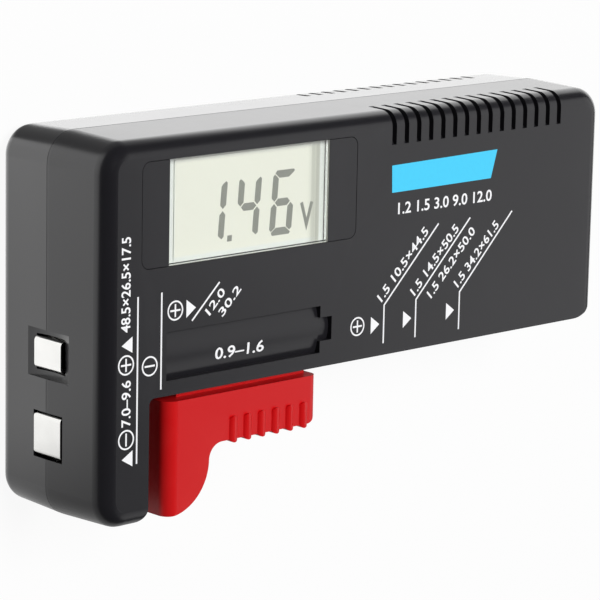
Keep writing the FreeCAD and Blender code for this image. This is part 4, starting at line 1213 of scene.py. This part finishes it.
@dataclass
class Leads:
    """The insulated leads between the contacts and the board."""

    radius: float = 0.55
    turn: float = 1.6
    sides: int = 12

    def build(self) -> None:
        """Run each lead as a smooth wire in the place of its solid."""
        for name, (finish, corners) in LEAD_ROUTES.items():
            path = bend([Vector(corner) * MM for corner in corners], self.turn * MM)
            mesh = wire(f"{name}_wire", path, self.radius, self.sides, finish)
            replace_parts(add_piece(mesh), name)


# ---- Studio ----


@dataclass(frozen=True)
class Lamp:
    """A round area lamp aimed at the tester."""

    place: Corner
    size: float
    power: float
    mirrored: bool = True


@dataclass
class Studio:
    """Camera, lights, floor and world."""

    lens: float = 185.18
    sensor: float = 36.0
    camera_place: Corner = (-0.338971, 0.100157, 0.371626)
    right: Corner = (0.7326759, 0.0201957, 0.6802781)
    up: Corner = (0.1242277, 0.9787982, -0.1628542)
    forward: Corner = (0.6691439, -0.2038288, -0.7146330)
    aim: Corner = (0.0, 0.0, 0.01)
    world_level: float = 0.25
    floor_size: float = 6.0
    floor_drop: float = 0.0001
    lamps: dict[str, Lamp] = field(default_factory=lambda: {
        "key_above": Lamp((-0.05, 0.3, 0.95), 0.5, 10.4, mirrored=False),
        "haze_right": Lamp((0.82, 0.05, 0.57), 0.86, 1.4),
        "haze_low": Lamp((0.66, -0.56, 0.5), 0.6, 0.55),
    })

    def build_camera(self) -> None:
        """Set up the camera."""
        data = bpy.data.cameras.new("camera")
        data.lens = self.lens
        data.sensor_width = self.sensor
        data.clip_start, data.clip_end = 0.01, 20.0
        camera = link_object("camera", data)
        columns = (Vector(self.right), Vector(self.up), -Vector(self.forward))
        turn = Matrix(columns).transposed().to_4x4()
        camera.matrix_world = Matrix.Translation(self.camera_place) @ turn
        bpy.context.scene.camera = camera

    def build_lamps(self) -> None:
        """Set up the area lamps, each aimed at the tester."""
        for name, form in self.lamps.items():
            data = bpy.data.lights.new(name, "AREA")
            data.shape = "DISK"
            data.size = form.size
            data.energy = form.power
            lamp = link_object(name, data)
            lamp.visible_glossy = form.mirrored
            lamp.location = form.place
            lamp.rotation_mode = "QUATERNION"
            way = Vector(self.aim) - Vector(form.place)
            lamp.rotation_quaternion = way.to_track_quat("-Z", "Y")

    def build_world(self) -> None:
        """Light the world evenly, and show it white behind the tester."""
        world = bpy.data.worlds.new("studio")
        bpy.context.scene.world = world
        world.use_nodes = True
        tree = world.node_tree
        path = add_node(tree, "ShaderNodeLightPath")
        seen = calculate(tree, "MAXIMUM", path["Is Camera Ray"], path["Is Transmission Ray"])
        level = ramp(tree, seen, low=self.world_level, kind="LINEAR")
        tree.links.new(level, tree.nodes["Background"].inputs["Strength"])

    def build_floor(self) -> None:
        """Lay the pale floor."""
        work = bmesh.new()
        bmesh.ops.create_grid(work, x_segments=1, y_segments=1, size=self.floor_size)
        mesh = to_mesh("floor", work, outward=False)
        mesh.materials.append(material_of(FloorFinish("floor_white")))
        floor = link_object("floor", mesh)
        floor.location = (0.0, 0.0, -self.floor_drop)

    def build(self) -> None:
        """Build the whole studio."""
        self.build_camera()
        self.build_lamps()
        self.build_world()
        self.build_floor()
        bpy.context.scene.view_settings.view_transform = "Standard"


def main() -> None:
    """Build the tester's looks."""
    logging.basicConfig(level=logging.INFO)
    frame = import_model()
    Studio().build()
    nodes = frame["nodes"]
    dress(nodes)
    FacePrinting(Surface(nodes["front_shell"]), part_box("front_shell")[1].z / MM).build()
    Reading(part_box("lcd_polarizer")[1].z / MM + 0.004).build()
    WindowWallReflection().build()
    SeamTongue().build(nodes["front_shell"])
    ReturnSpring().build()
    Leads().build()
    ScrewSet("case_screws", 1.2, 0.8, 1.0).build(nodes)
    ScrewSet("board_screws", 1.0, 0.6, 0.8).build(nodes)
    ScrewSet("contact_screw", 1.0, 0.6, 0.8, 1, 1, Body.SLIDER).build(nodes)


if __name__ == "__main__":
    main()
